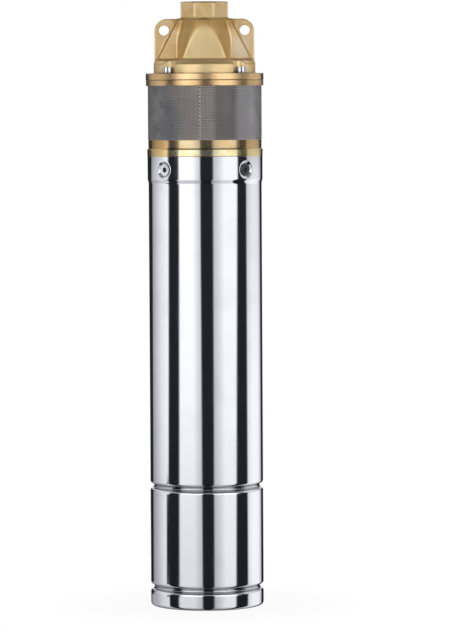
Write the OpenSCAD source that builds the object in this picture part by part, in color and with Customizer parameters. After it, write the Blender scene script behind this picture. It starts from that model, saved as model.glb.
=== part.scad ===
// Borehole submersible pump: a peripheral pump end over a single-phase motor in a rolled tube.
// Millimetres. +Z runs up the shaft axis, the origin is the centre of the foot, the front faces -Y.

/* [Motor tube] */
// Outside diameter of the motor tube
tube_od = 94.6; // [93:0.2:96]
// Wall of the tube sheet
tube_wall = 1.2; // [1:0.1:1.4]
// Length of the tube from the foot to its top edge
tube_len = 375; // [350:5:420]
// Radial swelling of the band that takes the motor flange
band_swell = 0.8; // [0.5:0.1:1.2]
// Height of the swollen band
band_h = 20.8; // [20:0.1:24]
// Height of the slope from the band to the tube
band_slope_h = 2.4; // [1.6:0.1:4]
// Depth of the two rolled grooves
groove_depth = 3; // [2.4:0.1:3.2]
// Outside radius of the bends above and below a groove
groove_bend_r = 2.6; // [2.2:0.1:3]
// Outside radius in the root of a groove
groove_root_r = 1.8; // [1.4:0.1:2.2]
// Height of the groove that holds the lower bracket
bracket_groove_z = 100.7; // [98:0.1:110]
// Height of the groove that holds the bottom cover
cover_groove_z = 16.3; // [16:0.1:18]
// Outside radius of the rolled foot edge
foot_bend_r = 3.2; // [2.4:0.1:4]
// Width of the lip under the bottom cover
foot_lip_w = 6.5; // [5:0.1:9]

/* [Motor flange] */
// How far the flange rim stands out past the band
flange_lip = 0.1; // [0:0.1:0.6]
// Height of the flange rim
flange_rim_h = 6.2; // [5:0.1:9]
// Depth of the spigot inside the band
spigot_h = 18; // [17:0.1:18.6]
// Wall of the spigot ring
spigot_wall = 7; // [6:0.5:9]
// Depth of the flange web under the rim
flange_web = 6; // [5:0.5:6]
// Wall round the upper bearing
bearing_wall = 5; // [4:0.5:7]
// Radius of the boss that holds the seal seat
boss_r = 19.5; // [18.5:0.1:20]
// Height of that boss over the rim
boss_h = 6; // [5:0.1:8]

/* [Lantern and strainer] */
// Diameter of the foot ring
foot_od = 94.4; // [94:0.2:98]
// Height of the foot ring
foot_h = 7.5; // [6:0.1:10]
// Inside diameter of the foot ring
foot_bore = 75; // [75:0.5:77]
// Outside diameter of the strainer
strainer_od = 94.6; // [94.4:0.2:96]
// Sheet of the strainer
strainer_t = 0.8; // [0.5:0.1:1]
// Height of the strainer between the rings
strainer_h = 44.8; // [42:0.2:60]
// Hole diameter in the strainer
perf_d = 2.2; // [1.6:0.1:2.6]
// Holes round the strainer in one row
perf_n = 64; // [48:1:72]
// Pitch of the rows
perf_pitch = 3.6; // [3.2:0.1:5]
// Plain edge of the strainer above and below the rows
perf_edge = 2.6; // [2:0.1:5]
// Height of the shoulder that centres the strainer
shoulder_h = 2.6; // [2:0.1:3]
// Thickness of the lantern's upper plate below its rim
plate_h = 7.4; // [7:0.1:9]
// Height of the lantern rim
lantern_rim_h = 4.6; // [4:0.1:7]
// Width of a pillar
pillar_w = 13; // [11:0.5:16]
// Radial depth of a pillar
pillar_t = 9; // [8:0.5:10]
// Setback of the pillars behind the strainer
pillar_gap = 0.4; // [0.3:0.1:0.8]

/* [Discharge head] */
// Diameter of the two rims at the head joint
head_od = 98; // [97:0.5:102]
// Height of the head rim
head_rim_h = 5.7; // [5:0.1:8]
// Diameter of the base over the rim
base_od = 84; // [82:0.5:86]
// Height of the base
base_h = 10.6; // [9:0.1:14]
// Chamfer on the base
base_chamfer = 2.6; // [1:0.1:3]
// Height of the body from the base to the neck
body_h = 35.1; // [33:0.1:45]
// Width over the square flats of the body
body_w = 43; // [42:0.5:46]
// Lower diameter of the body cone
cone_d1 = 57; // [54:0.5:60]
// Upper diameter of the body cone
cone_d2 = 41; // [40:0.5:42]
// Width over the flats of the octagonal neck
neck_w = 39.2; // [38.6:0.2:42]
// Height of the neck
neck_h = 13.5; // [11:0.1:18]
// Height of the sloping shoulder under the neck
neck_shoulder = 1.2; // [0.8:0.1:1.6]
// Turned chamfer on the neck's upper corners
neck_chamfer = 1.2; // [0.6:0.1:1.4]
// Thread bore of the outlet, thread major diameter
outlet_d = 33.2; // [32:0.1:34]
// Depth of the outlet thread
outlet_depth = 16; // [13:0.5:18]
// Diameter of the discharge cavity below the thread
cavity_d = 30.3; // [28:0.1:31]
// Thickness of the gussets
gusset_t = 22; // [16:0.5:26]
// Reach of a gusset at the base, from the axis
gusset_r1 = 39.6; // [36:0.1:40.5]
// Reach of a gusset at the neck, from the axis
gusset_r2 = 21.6; // [20:0.1:24]
// Width over the ear plate
ear_w = 82.8; // [80:0.2:84]
// Thickness of the ear plate
ear_t = 7; // [5:0.5:10]
// How far the ear plate ends below the neck's foot
ear_drop = 0.6; // [0:0.1:3]
// Radius of the ear corners
ear_corner_r = 9; // [7:0.1:11]
// Spacing of the two rope eyes
eye_span = 67.2; // [64:0.2:68]
// Depth of the eye centres below the neck's foot
eye_drop = 10.1; // [9:0.1:14]
// Diameter of a rope eye
eye_d = 8.4; // [6:0.1:9]

/* [Pump chamber] */
// Diameter of the impeller
impeller_d = 66; // [64:0.2:66.4]
// Radial gap round the impeller
chamber_gap = 0.4; // [0.3:0.1:0.5]
// Axial gap on each side of the impeller
side_gap = 0.2; // [0.1:0.05:0.3]
// Depth of the chamber in the head
chamber_up = 4; // [3:0.1:5]
// Depth of the chamber in the lantern
chamber_down = 6; // [5:0.1:6.4]
// Radial width of the side channels
channel_w = 6.4; // [5:0.1:7]
// Depth of the side channels
channel_depth = 2.6; // [2:0.1:3]
// Angle that the side channels cover
channel_angle = 318; // [300:1:325]
// Distance of the side channels from the chamber wall
channel_land = 0.8; // [0.5:0.1:1.5]
// Ledge between a port and the edges of its channel
port_ledge = 0.5; // [0.3:0.1:0.8]
// Number of vanes on each face
vane_n = 36; // [24:1:44]
// Radial length of a vane
vane_len = 6.5; // [5:0.1:8]
// Thickness of a vane at its root
vane_t = 1.8; // [1.4:0.1:2.2]
// Web left between the two rows of vanes
vane_web = 2; // [1.6:0.1:3]
// Radius of the impeller hub
hub_r = 11.5; // [10.5:0.1:13]
// Height of the hub over the impeller's upper face
hub_h = 2; // [1:0.1:4]
// Diameter of the four relief holes in the impeller
relief_d = 5; // [3:0.5:6]
// Radius of the circle of the relief holes
relief_r = 18; // [16:0.5:20]

/* [Shaft] */
// Diameter of the shaft in the rotor
shaft_d = 20; // [19:0.5:21]
// Diameter of the shaft in the seal and the throat bush
seal_shaft_d = 15; // [14.4:0.1:15.6]
// Diameter of the shaft in the impeller
impeller_shaft_d = 12; // [11:0.1:12.6]
// Diameter of the threaded shaft end
shaft_thread_d = 10; // [9:0.1:10.4]
// Width of the impeller key
key_w = 4; // [3:0.1:5]
// Depth of the key in the shaft, and its height over the shaft
key_depth = 1.8; // [1.5:0.1:2.2]
// Length of the key
key_len = 8; // [6:0.1:9]
// Width over the flats of the impeller nut
nut_w = 17; // [15:0.5:19]
// Height of the impeller nut
nut_h = 8; // [6:0.1:10]
// Thickness of the washer under the nut
washer_t = 1.6; // [1:0.1:2.5]
// Shaft end past the nut
shaft_tip = 2; // [1:0.1:4]

/* [Bearings] */
// Bore of the upper bearing
upper_bore = 17; // [16:0.1:17.4]
// Outside diameter of the upper bearing
upper_od = 40; // [39:0.1:41]
// Width of the upper bearing
upper_w = 12; // [11.6:0.1:12.4]
// Ball diameter of the upper bearing
upper_ball = 6.75; // [6.4:0.05:7]
// Bore of the lower bearing
lower_bore = 17; // [16:0.1:17.4]
// Outside diameter of the lower bearing
lower_od = 40; // [39:0.1:41]
// Width of the lower bearing
lower_w = 12; // [11.6:0.1:12.4]
// Ball diameter of the lower bearing
lower_ball = 6.75; // [6.4:0.05:7]
// Balls in each bearing
ball_n = 8; // [6:1:8]
// Height of the wave washer under the lower bearing
wave_h = 1.2; // [0.9:0.1:1.6]
// Sheet of the wave washer
wave_t = 0.4; // [0.3:0.05:0.5]
// Waves round the washer
wave_n = 4; // [3:1:6]

/* [Motor] */
// Length of the stator and rotor cores
core_len = 120; // [90:5:130]
// Bore of the stator
stator_bore = 48; // [46:0.5:50]
// Air gap between rotor and stator
air_gap = 0.4; // [0.3:0.05:0.5]
// Slots in the stator
slot_n = 24; // [18:2:24]
// Depth of a slot
slot_depth = 12; // [10:0.5:13]
// Width of a slot
slot_w = 4; // [3:0.1:4.2]
// Width of a slot's mouth
slot_mouth = 2; // [1.5:0.1:2.4]
// Height of a tooth tip at the slot mouth
tooth_tip = 1.2; // [0.8:0.1:1.6]
// Overhang of the end turns past the core
end_turn_h = 28; // [20:1:32]
// Gap between the core and the end turns
end_turn_gap = 3; // [2:0.5:5]
// Bars in the rotor cage
bar_n = 28; // [20:1:30]
// Diameter of a rotor bar
bar_d = 3.2; // [2.6:0.1:3.6]
// Depth of the bar centres below the rotor surface
bar_drop = 2.8; // [2.5:0.1:4]
// Height of the cage end rings
end_ring_h = 9; // [6:0.5:12]
// Radial width of the cage end rings
end_ring_w = 7; // [6:0.5:9]
// Length of the thermal protector
protector_l = 22; // [16:0.5:26]
// Width of the thermal protector
protector_w = 9; // [7:0.5:10]
// Height of the thermal protector
protector_h = 5; // [4:0.5:7]

/* [Lower chamber] */
// Height of the lower bracket
bracket_h = 24; // [22:0.5:30]
// Wall round the lower bearing
bracket_hub_wall = 5; // [4:0.5:7]
// Rim wall of the lower bracket
bracket_rim = 8; // [7:0.5:11]
// Web of the lower bracket
bracket_web = 7; // [5:0.5:8]
// Height of the bottom cover
cover_h = 25; // [24:0.5:30]
// Floor of the bottom cover
cover_floor = 4; // [3:0.1:6]
// Wall of the bottom cover
cover_wall = 6; // [5.5:0.1:8]
// Diameter of the run capacitor
capacitor_d = 40; // [34:0.5:44]
// Height of the capacitor can
capacitor_h = 64; // [50:1:66]
// Height of its terminals
terminal_h = 8; // [5:0.5:10]
// Height of the capacitor holder
holder_h = 14; // [10:0.5:18]
// Wall of the holder's sleeve
holder_wall = 2.4; // [1.6:0.1:4]

/* [Seals] */
// Cord of the O-rings at the tube
cord_d = 2.4; // [2:0.1:2.6]
// Cord of the O-ring at the head joint
head_cord_d = 1.6; // [1.2:0.1:1.8]
// Depth of the flange O-ring below the rim
flange_cord_drop = 2.4; // [2:0.1:2.8]
// Distance of the other O-rings from their grooves
cord_offset = 7.6; // [7:0.1:8]
// Outside diameter of the seal seat
seat_d = 24; // [22:0.1:25]
// Bore of the seal seat
seat_bore = 17.2; // [16.4:0.1:18]
// Height of the seal seat
seat_h = 7.4; // [7:0.1:8]
// Wall of the seat gasket
gasket_wall = 3; // [2:0.1:3.4]
// Height of the seat gasket
gasket_h = 6; // [4:0.1:6.4]
// Outside diameter of the carbon face
carbon_d = 23; // [21:0.1:24]
// Height of the carbon face
carbon_h = 4; // [3:0.1:6]
// Film between the seat and the carbon face
seal_film = 0.05; // [0.02:0.01:0.1]
// Outside diameter of the bellows head
bellows_d = 26; // [24:0.1:27]
// Height of the bellows head
bellows_h = 6; // [5:0.1:8]
// Height of the seal spring
spring_h = 16; // [13:0.5:18]
// Wire of the seal spring
spring_wire = 2; // [1.4:0.1:2.2]
// Turns of the seal spring
spring_turns = 4; // [3:0.5:5]
// Thickness of the spring collar
collar_t = 2; // [1.5:0.1:3]
// Thickness of the snap ring over the collar
snap_t = 1; // [0.8:0.1:1.5]
// Depth of the snap ring in the shaft
snap_depth = 0.6; // [0.4:0.1:0.8]
// Outside diameter of the lip seal
lip_d = 28; // [26:0.5:28]
// Height of the lip seal
lip_h = 7; // [6:0.1:7]
// Wall of the throat bush
bush_wall = 3; // [2:0.1:4]

/* [Fasteners] */
// Shank diameter of the head and lantern bolts
bolt_d = 5; // [4:0.1:5]
// Head diameter of those bolts
bolt_head_d = 8.5; // [7:0.1:8.6]
// Head height of those bolts
bolt_head_h = 5; // [4:0.1:6]
// Socket width over flats of those bolts
bolt_socket = 4; // [3:0.1:5]
// Pitch circle of the head bolts
head_pcd = 86; // [85:0.2:86.4]
// Length of the head bolts under the head
head_bolt_len = 24; // [18:0.5:30]
// Angle of the first head bolt
head_bolt_angle = 45; // [43:1:47]
// Pitch circle of the lantern bolts
lantern_pcd = 83; // [82:0.2:83.4]
// Length of the lantern bolts under the head
lantern_bolt_len = 16; // [13:0.5:17]
// Angle of the first lantern bolt
lantern_bolt_angle = 20; // [17:1:23]
// Diameter of a bolt pocket in the base
pocket_d = 13; // [11:0.1:14]
// Shank diameter of the band screws
screw_d = 5; // [4:0.1:6]
// Head diameter of the band screws
screw_head_d = 10.4; // [9:0.1:10.8]
// Length of the band screws
screw_len = 8; // [6:0.1:9]
// How far the screw heads lie below the band
screw_sink = 1; // [0.6:0.1:1.3]
// Socket width over flats of the band screws
screw_socket = 4; // [3:0.1:4.4]
// Depth of the band screws below the tube's top edge
screw_drop = 10.8; // [10.6:0.1:11.4]

/* [Cable entry] */
// Radius at which the cable passes the rims
cable_r = 41; // [40.8:0.1:41.2]
// Outside diameter of the cable grommet
grommet_d = 9.2; // [8.4:0.1:9.4]
// Bore of the grommet, the cable's diameter
cable_d = 7.2; // [6:0.1:7.4]
// Diameter of the grommet's collar
collar_d = 12; // [11:0.1:13]
// Height of the grommet's collar
collar_h = 1.6; // [1:0.1:3]
// Clear space round the collar in the base
notch_gap = 1.5; // [1:0.1:3]
// Radius at which the gland stands on the flange
gland_r = 28.5; // [28.3:0.1:28.9]
// Width over the flats of the gland nut
gland_w = 14; // [13:0.1:14.2]
// Height of the gland nut's hexagon
gland_h = 6; // [4:0.1:9]
// Diameter of the gland thread
gland_thread_d = 11; // [10.4:0.1:11.2]
// Depth of the gland thread in the flange
gland_thread_h = 4; // [3:0.1:5]
// Height of the cable seal under the gland nut
cable_seal_h = 6; // [5:0.1:7]

/* [Clearances] */
// Gap in fits that do not move
fit_gap = 0.05; // [0.03:0.01:0.06]
// Gap between running faces, balls and bores
run_gap = 0.1; // [0.06:0.01:0.12]
// Gap between a bolt and its hole
bolt_gap = 0.15; // [0.1:0.05:0.2]

/* [Hidden] */
$fn = 96;
arc_n = 6;
tube_r = tube_od / 2;
tube_ri = tube_r - tube_wall;
band_r = tube_r + band_swell;
band_ri = band_r - tube_wall;
band_z = tube_len - band_h;
groove_sum = groove_bend_r + groove_root_r;
groove_turn = acos(1 - groove_depth / groove_sum);
groove_half = groove_sum * sin(groove_turn);
lip_z = tube_wall;
plug_r = tube_ri - fit_gap;

flange_z = tube_len;
flange_r = band_r + flange_lip;
spigot_r = band_ri - fit_gap;
spigot_z = flange_z - spigot_h;
upper_z = spigot_z;
upper_top = upper_z + upper_w;
lantern_z = flange_z + flange_rim_h;
boss_top = lantern_z + boss_h;
gasket_r = seat_d / 2 + fit_gap + gasket_wall;
gasket_z = boss_top - gasket_h;
lip_seal_z = upper_top + 2;
seat_z = gasket_z;
carbon_z = seat_z + seat_h + seal_film;
bellows_z = carbon_z + carbon_h;
spring_z = bellows_z + bellows_h;
collar_z = spring_z + spring_h;
snap_z = collar_z + collar_t;

strainer_z = lantern_z + foot_h;
strainer_top = strainer_z + strainer_h;
strainer_r = strainer_od / 2;
strainer_ri = strainer_r - strainer_t;
seat_r = strainer_ri - fit_gap;
plate_z = strainer_top - plate_h;
split_z = strainer_top + lantern_rim_h;
head_r = head_od / 2;
bolt_seat_z = split_z + head_rim_h;
base_top = bolt_seat_z + base_h;
neck_z = base_top + body_h;
top_z = neck_z + neck_h;
neck_r = neck_w / 2 / cos(22.5) - neck_chamfer;
cavity_top = top_z - outlet_depth;

chamber_r = impeller_d / 2 + chamber_gap;
chamber_z = split_z - chamber_down;
chamber_top = split_z + chamber_up;
impeller_z = chamber_z + side_gap;
impeller_h = chamber_up + chamber_down - 2 * side_gap;
impeller_top = impeller_z + impeller_h;
channel_ri = chamber_r - channel_land - channel_w;
port_r = channel_ri + channel_w / 2;
port_d = channel_w - 2 * port_ledge;
passage_w = port_d - 2 * port_ledge;
hub_top = impeller_top + hub_h;
nut_z = hub_top + washer_t;
shaft_top = nut_z + nut_h + shaft_tip;
bush_ri = seal_shaft_d / 2 + run_gap;
bush_ro = bush_ri + bush_wall;
key_z = impeller_z + (impeller_h - key_len) / 2;

bracket_z = bracket_groove_z - bracket_h / 2;
bracket_top = bracket_z + bracket_h;
lower_top = bracket_top - 0.8;
lower_z = lower_top - lower_w;
wave_z = lower_z - wave_h;
shaft_z = lower_z - 0.5;
core_z = (bracket_top + spigot_z - core_len) / 2;
core_top = core_z + core_len;
stator_ri = stator_bore / 2;
rotor_r = stator_ri - air_gap;
bar_r = rotor_r - bar_drop;
slot_r1 = stator_ri + tooth_tip;
slot_r2 = stator_ri + slot_depth;
end_turn_ri = slot_r1 + 0.4;
end_turn_ro = slot_r2 - 0.4;

cover_z = lip_z;
cover_top = cover_z + cover_h;
cup_z = cover_z + cover_floor;
cup_r = plug_r - cover_wall;
can_r = capacitor_d / 2;

upper_pitch = (upper_bore + upper_od) / 4;
lower_pitch = (lower_bore + lower_od) / 4;
head_cord_r = chamber_r + 0.6 + head_cord_d / 2;

// Ring between two radii, standing on height z.
module ring(z, h, ro, ri) {
  difference() {
    translate([0, 0, z]) cylinder(h = h, r = ro);
    translate([0, 0, z - 1]) cylinder(h = h + 2, r = ri);
  }
}

// Ring of round cord.
module cord_ring(z, r, d) {
  translate([0, 0, z]) rotate_extrude() translate([r, 0]) circle(d = d, $fn = 32);
}

// Four copies round the axis.
module four(angle, r) {
  for (k = [0:3]) rotate([0, 0, angle + 90 * k]) translate([r, 0, 0]) children();
}

// Hexagonal bar, w over its flats.
module hex_bar(w, h) {
  cylinder(h = h, d = w / cos(30), $fn = 6);
}

// Socket head bolt, seated on its underside at z = 0.
module socket_bolt(len) {
  difference() {
    union() {
      cylinder(h = bolt_head_h, d = bolt_head_d, $fn = 48);
      translate([0, 0, -len]) cylinder(h = len + 1, d = bolt_d, $fn = 48);
    }
    translate([0, 0, bolt_head_h / 2]) hex_bar(bolt_socket, bolt_head_h);
  }
}

// Countersink and shank hole of one band screw. Local +X points out of the tube.
module screw_space(gap) {
  seat = band_r - screw_sink;
  cone = (screw_head_d - screw_d) / 2;
  rotate([0, 90, 0]) {
    translate([0, 0, seat - screw_len - gap]) cylinder(h = screw_len, d = screw_d + 2 * gap, $fn = 48);
    translate([0, 0, seat - cone])
      cylinder(h = cone + 3, r1 = screw_d / 2 + gap, r2 = screw_head_d / 2 + 3 + gap, $fn = 48);
  }
}

// Points along one side of a rolled groove, from below to above. inset is 0 outside, the wall inside.
function groove_side(z, inset) = concat(
  [for (i = [0:arc_n]) let(a = i * groove_turn / arc_n)
    [tube_r - groove_bend_r + (groove_bend_r - inset) * cos(a),
     z - groove_half + (groove_bend_r - inset) * sin(a)]],
  [for (i = [1:2 * arc_n]) let(a = (i / arc_n - 1) * groove_turn)
    [tube_r - groove_depth + groove_root_r - (groove_root_r + inset) * cos(a),
     z + (groove_root_r + inset) * sin(a)]],
  [for (i = [1:arc_n]) let(a = (i / arc_n - 1) * groove_turn)
    [tube_r - groove_bend_r + (groove_bend_r - inset) * cos(a),
     z + groove_half + (groove_bend_r - inset) * sin(a)]]);

// Points round the rolled foot edge, from the lip to the wall.
function foot_side(inset) = [for (i = [0:arc_n]) let(a = -90 + 90 * i / arc_n)
  [tube_r - foot_bend_r + (foot_bend_r - inset) * cos(a), foot_bend_r + (foot_bend_r - inset) * sin(a)]];

// The same points from above to below.
function turned(p) = [for (i = [len(p) - 1:-1:0]) p[i]];

// Groove cut in a plug, wide enough for the rolled groove of the tube.
module plug_groove(z) {
  root = tube_r - groove_depth - tube_wall - 0.3;
  translate([0, 0, z]) rotate_extrude() polygon([
    [root, -1.4], [root, 1.4], [plug_r + 0.5, groove_half + 0.5], [plug_r + 0.5, -groove_half - 0.5]]);
}

// Rectangular groove for an O-ring in a plug or spigot of radius r.
module cord_groove(z, r) {
  ring(z - cord_d / 2 - 0.3, cord_d + 0.6, r + 1, r - cord_d - fit_gap);
}

// One ball race set: a sphere at each pocket of the pitch circle.
module ball_circle(pitch, d) {
  for (k = [0:ball_n - 1]) rotate([0, 0, 360 * k / ball_n]) translate([pitch, 0, 0]) sphere(d = d, $fn = 32);
}

// Raceway groove as a torus.
module raceway(z, pitch, ball) {
  translate([0, 0, z]) rotate_extrude() translate([pitch, 0]) circle(r = ball / 2 + run_gap, $fn = 48);
}

// Outer ring of a bearing.
module bearing_outer(z, w, od, pitch, ball) {
  difference() {
    ring(z, w, od / 2, pitch + 0.3 * ball);
    raceway(z + w / 2, pitch, ball);
  }
}

// Inner ring of a bearing.
module bearing_inner(z, w, bore, pitch, ball) {
  difference() {
    ring(z, w, pitch - 0.3 * ball, bore / 2 + fit_gap);
    raceway(z + w / 2, pitch, ball);
  }
}

// Ball cage of a bearing: a ring with one round pocket for each ball.
module bearing_cage(z, w, pitch, ball) {
  difference() {
    ring(z + w / 2 - 0.62 * ball, 1.24 * ball, pitch + 0.18 * ball, pitch - 0.18 * ball);
    for (k = [0:ball_n - 1]) rotate([0, 0, 360 * k / ball_n]) translate([pitch, 0, z + w / 2])
      rotate([0, 90, 0]) cylinder(h = ball, d = ball + 2 * fit_gap, center = true, $fn = 48);
  }
}

// Side channel of the pump chamber, open between the ends of its arc.
module side_channel(z) {
  translate([0, 0, z]) rotate([0, 0, 90 + (360 - channel_angle) / 2]) rotate_extrude(angle = channel_angle)
    translate([channel_ri, -channel_depth]) square([channel_w, 2 * channel_depth]);
}

// Place of a port, just inside one end of the side channels. side is 1 or -1.
module port_place(side) {
  rotate([0, 0, 90 + side * ((360 - channel_angle) / 2 + 9)]) translate([port_r, 0, 0]) children();
}

// Ear plate in outline, drawn in the XZ plane from the rim up.
module ear_outline() {
  half = ear_w / 2;
  top = neck_z - ear_drop;
  translate([-half + ear_corner_r, bolt_seat_z]) square([ear_w - 2 * ear_corner_r, top - bolt_seat_z]);
  translate([-half, bolt_seat_z]) square([ear_w, top - ear_corner_r - bolt_seat_z]);
  for (s = [-1, 1]) translate([s * (half - ear_corner_r), top - ear_corner_r]) circle(r = ear_corner_r);
}

// Extrusion of an XZ outline, centred on Y.
module plate_xz(t) {
  translate([0, t / 2, 0]) rotate([90, 0, 0]) linear_extrude(t) children();
}

// Brass discharge head with neck, gussets, ear plate, base and rim.
module discharge_head() {
  color([0.78, 0.66, 0.42]) difference() {
    union() {
      translate([0, 0, split_z]) cylinder(h = head_rim_h, r = head_r);
      difference() {
        rotate_extrude() polygon([
          [0, bolt_seat_z - 1], [base_od / 2, bolt_seat_z - 1], [base_od / 2, base_top - base_chamfer],
          [base_od / 2 - base_chamfer, base_top], [0, base_top]]);
        four(head_bolt_angle, head_pcd / 2) translate([0, 0, bolt_seat_z])
          cylinder(h = base_h + 1, d = pocket_d, $fn = 48);
        translate([0, cable_r, bolt_seat_z]) cylinder(h = base_h + 1, d = collar_d + 2 * notch_gap, $fn = 48);
      }
      intersection() {
        rotate_extrude() polygon([
          [0, base_top - 1], [cone_d1 / 2, base_top - 1], [cone_d2 / 2, neck_z - neck_shoulder],
          [cone_d2 / 2 - neck_shoulder, neck_z], [0, neck_z]]);
        translate([-body_w / 2, -body_w / 2, base_top - 1]) cube([body_w, body_w, body_h + 1]);
      }
      plate_xz(gusset_t) polygon([
        [-gusset_r1, base_top - 1], [gusset_r1, base_top - 1],
        [gusset_r2, neck_z - ear_drop - 0.4], [-gusset_r2, neck_z - ear_drop - 0.4]]);
      plate_xz(ear_t) ear_outline();
      intersection() {
        translate([0, 0, neck_z - 3]) rotate([0, 0, 22.5])
          cylinder(h = neck_h + 3, d = neck_w / cos(22.5), $fn = 8);
        translate([0, 0, top_z - neck_w]) cylinder(h = neck_w, r1 = neck_r + neck_w, r2 = neck_r);
      }
    }
    translate([0, 0, cavity_top]) cylinder(h = outlet_depth + 1, d = outlet_d);
    translate([0, 0, split_z - 1]) cylinder(h = cavity_top - split_z + 2, d = cavity_d);
    translate([0, 0, split_z - 1]) cylinder(h = chamber_up + 1, r = chamber_r);
    side_channel(chamber_top);
    port_place(-1) translate([0, 0, split_z]) cylinder(h = chamber_up + 9, d = port_d, $fn = 48);
    rotate([0, 0, 90 - (360 - channel_angle) / 2 - 9])
      translate([0, -passage_w / 2, chamber_top + 4]) cube([port_r, passage_w, 5]);
    for (s = [-1, 1]) translate([s * eye_span / 2, 0, neck_z - eye_drop]) rotate([90, 0, 0])
      cylinder(h = ear_t + 2, d = eye_d, center = true, $fn = 48);
    four(head_bolt_angle, head_pcd / 2) translate([0, 0, split_z - 1])
      cylinder(h = head_rim_h + 2, d = bolt_d + 2 * bolt_gap, $fn = 48);
    translate([0, cable_r, split_z - 1]) cylinder(h = head_rim_h + 2, d = grommet_d + 2 * fit_gap, $fn = 48);
  }
}

// Brass lantern: rim, chamber floor, four pillars and foot ring.
module suction_lantern() {
  color([0.76, 0.63, 0.40]) difference() {
    union() {
      translate([0, 0, strainer_top]) cylinder(h = lantern_rim_h, r = head_r);
      translate([0, 0, plate_z]) cylinder(h = plate_h, r = seat_r);
      ring(lantern_z, foot_h, foot_od / 2, foot_bore / 2);
      ring(strainer_z, shoulder_h, seat_r, foot_bore / 2);
      intersection() {
        translate([0, 0, strainer_z]) cylinder(h = strainer_h - 1, r = seat_r - pillar_gap);
        four(head_bolt_angle, 0) translate([seat_r - pillar_t, -pillar_w / 2, strainer_z])
          cube([pillar_t + 1, pillar_w, strainer_h - 1]);
      }
    }
    translate([0, 0, chamber_z]) cylinder(h = chamber_down + 1, r = chamber_r);
    side_channel(chamber_z);
    port_place(1) translate([0, 0, plate_z - 1]) cylinder(h = plate_h, d = port_d, $fn = 48);
    translate([0, 0, plate_z - 1]) cylinder(h = plate_h + 1, r = bush_ro + fit_gap);
    translate([0, 0, split_z]) rotate_extrude()
      translate([head_cord_r - head_cord_d / 2 - fit_gap, -head_cord_d - fit_gap])
        square([head_cord_d + 2 * fit_gap, head_cord_d + 1]);
    four(head_bolt_angle, head_pcd / 2) translate([0, 0, bolt_seat_z - head_bolt_len - 1])
      cylinder(h = head_bolt_len + 2, d = bolt_d + 2 * fit_gap, $fn = 48);
    four(lantern_bolt_angle, lantern_pcd / 2) translate([0, 0, lantern_z - 1])
      cylinder(h = foot_h + 2, d = bolt_d + 2 * bolt_gap, $fn = 48);
    four(lantern_bolt_angle, lantern_pcd / 2) translate([0, 0, strainer_z])
      cylinder(h = shoulder_h + 1, d = bolt_head_d + 2 * bolt_gap, $fn = 48);
    translate([0, cable_r, plate_z - 1]) cylinder(h = plate_h + lantern_rim_h + 2, d = grommet_d + 2 * fit_gap, $fn = 48);
  }
}

// Perforated strainer sheet with staggered rows.
module strainer() {
  rows = floor((strainer_h - 2 * perf_edge) / perf_pitch);
  start = strainer_z + (strainer_h - (rows - 1) * perf_pitch) / 2;
  color([0.62, 0.63, 0.66]) difference() {
    ring(strainer_z, strainer_h, strainer_r, strainer_ri);
    for (i = [0:rows - 1], k = [0:perf_n - 1])
      rotate([0, 0, (k + (i % 2) / 2) * 360 / perf_n]) translate([strainer_ri - 1, 0, start + i * perf_pitch])
        rotate([0, 90, 0]) cylinder(h = strainer_t + 2, d = perf_d, $fn = 16);
  }
}

// Brass motor flange with spigot, upper bearing seat and seal boss.
module motor_flange() {
  hub = upper_od / 2 + bearing_wall;
  color([0.77, 0.65, 0.42]) difference() {
    union() {
      translate([0, 0, flange_z]) cylinder(h = flange_rim_h, r = flange_r);
      translate([0, 0, spigot_z]) cylinder(h = spigot_h + 1, r = spigot_r);
      translate([0, 0, lantern_z - 1]) cylinder(h = boss_h + 1, r = boss_r);
    }
    ring(spigot_z - 1, spigot_h - flange_web + 1, spigot_r - spigot_wall, hub);
    translate([0, 0, spigot_z - 1]) cylinder(h = upper_w + 1, r = upper_od / 2 + fit_gap);
    translate([0, 0, upper_top - 1]) cylinder(h = 5, r = upper_bore / 2 + 1.2);
    translate([0, 0, lip_seal_z]) cylinder(h = boss_top - lip_seal_z, r = lip_d / 2 + fit_gap);
    translate([0, 0, gasket_z]) cylinder(h = gasket_h + 1, r = gasket_r + fit_gap);
    cord_groove(flange_z - flange_cord_drop, spigot_r);
    four(45, 0) translate([0, 0, flange_z - screw_drop]) screw_space(fit_gap);
    four(lantern_bolt_angle, lantern_pcd / 2) translate([0, 0, strainer_z - lantern_bolt_len - 1])
      cylinder(h = lantern_bolt_len + 2, d = bolt_d + 2 * fit_gap, $fn = 48);
    translate([0, gland_r, flange_z - flange_web - 1])
      cylinder(h = flange_web + flange_rim_h + 2, d = cable_d + 2 * fit_gap, $fn = 48);
    translate([0, gland_r, lantern_z - gland_thread_h - cable_seal_h])
      cylinder(h = gland_thread_h + cable_seal_h + 1, d = gland_thread_d + 2 * fit_gap, $fn = 48);
  }
}

// Stainless motor tube with swollen band, two rolled grooves, rolled foot and four screw dimples.
module motor_tube() {
  lip_r = tube_r - foot_lip_w;
  color([0.82, 0.83, 0.85]) difference() {
    rotate_extrude() polygon(concat(
      [[lip_r, 0]], foot_side(0), groove_side(cover_groove_z, 0), groove_side(bracket_groove_z, 0),
      [[tube_r, band_z - band_slope_h], [band_r, band_z], [band_r, tube_len], [band_ri, tube_len],
       [band_ri, band_z], [tube_ri, band_z - band_slope_h]],
      turned(groove_side(bracket_groove_z, tube_wall)), turned(groove_side(cover_groove_z, tube_wall)),
      turned(foot_side(tube_wall)), [[lip_r, tube_wall]]));
    four(45, 0) translate([0, 0, flange_z - screw_drop]) screw_space(fit_gap);
  }
}

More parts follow.
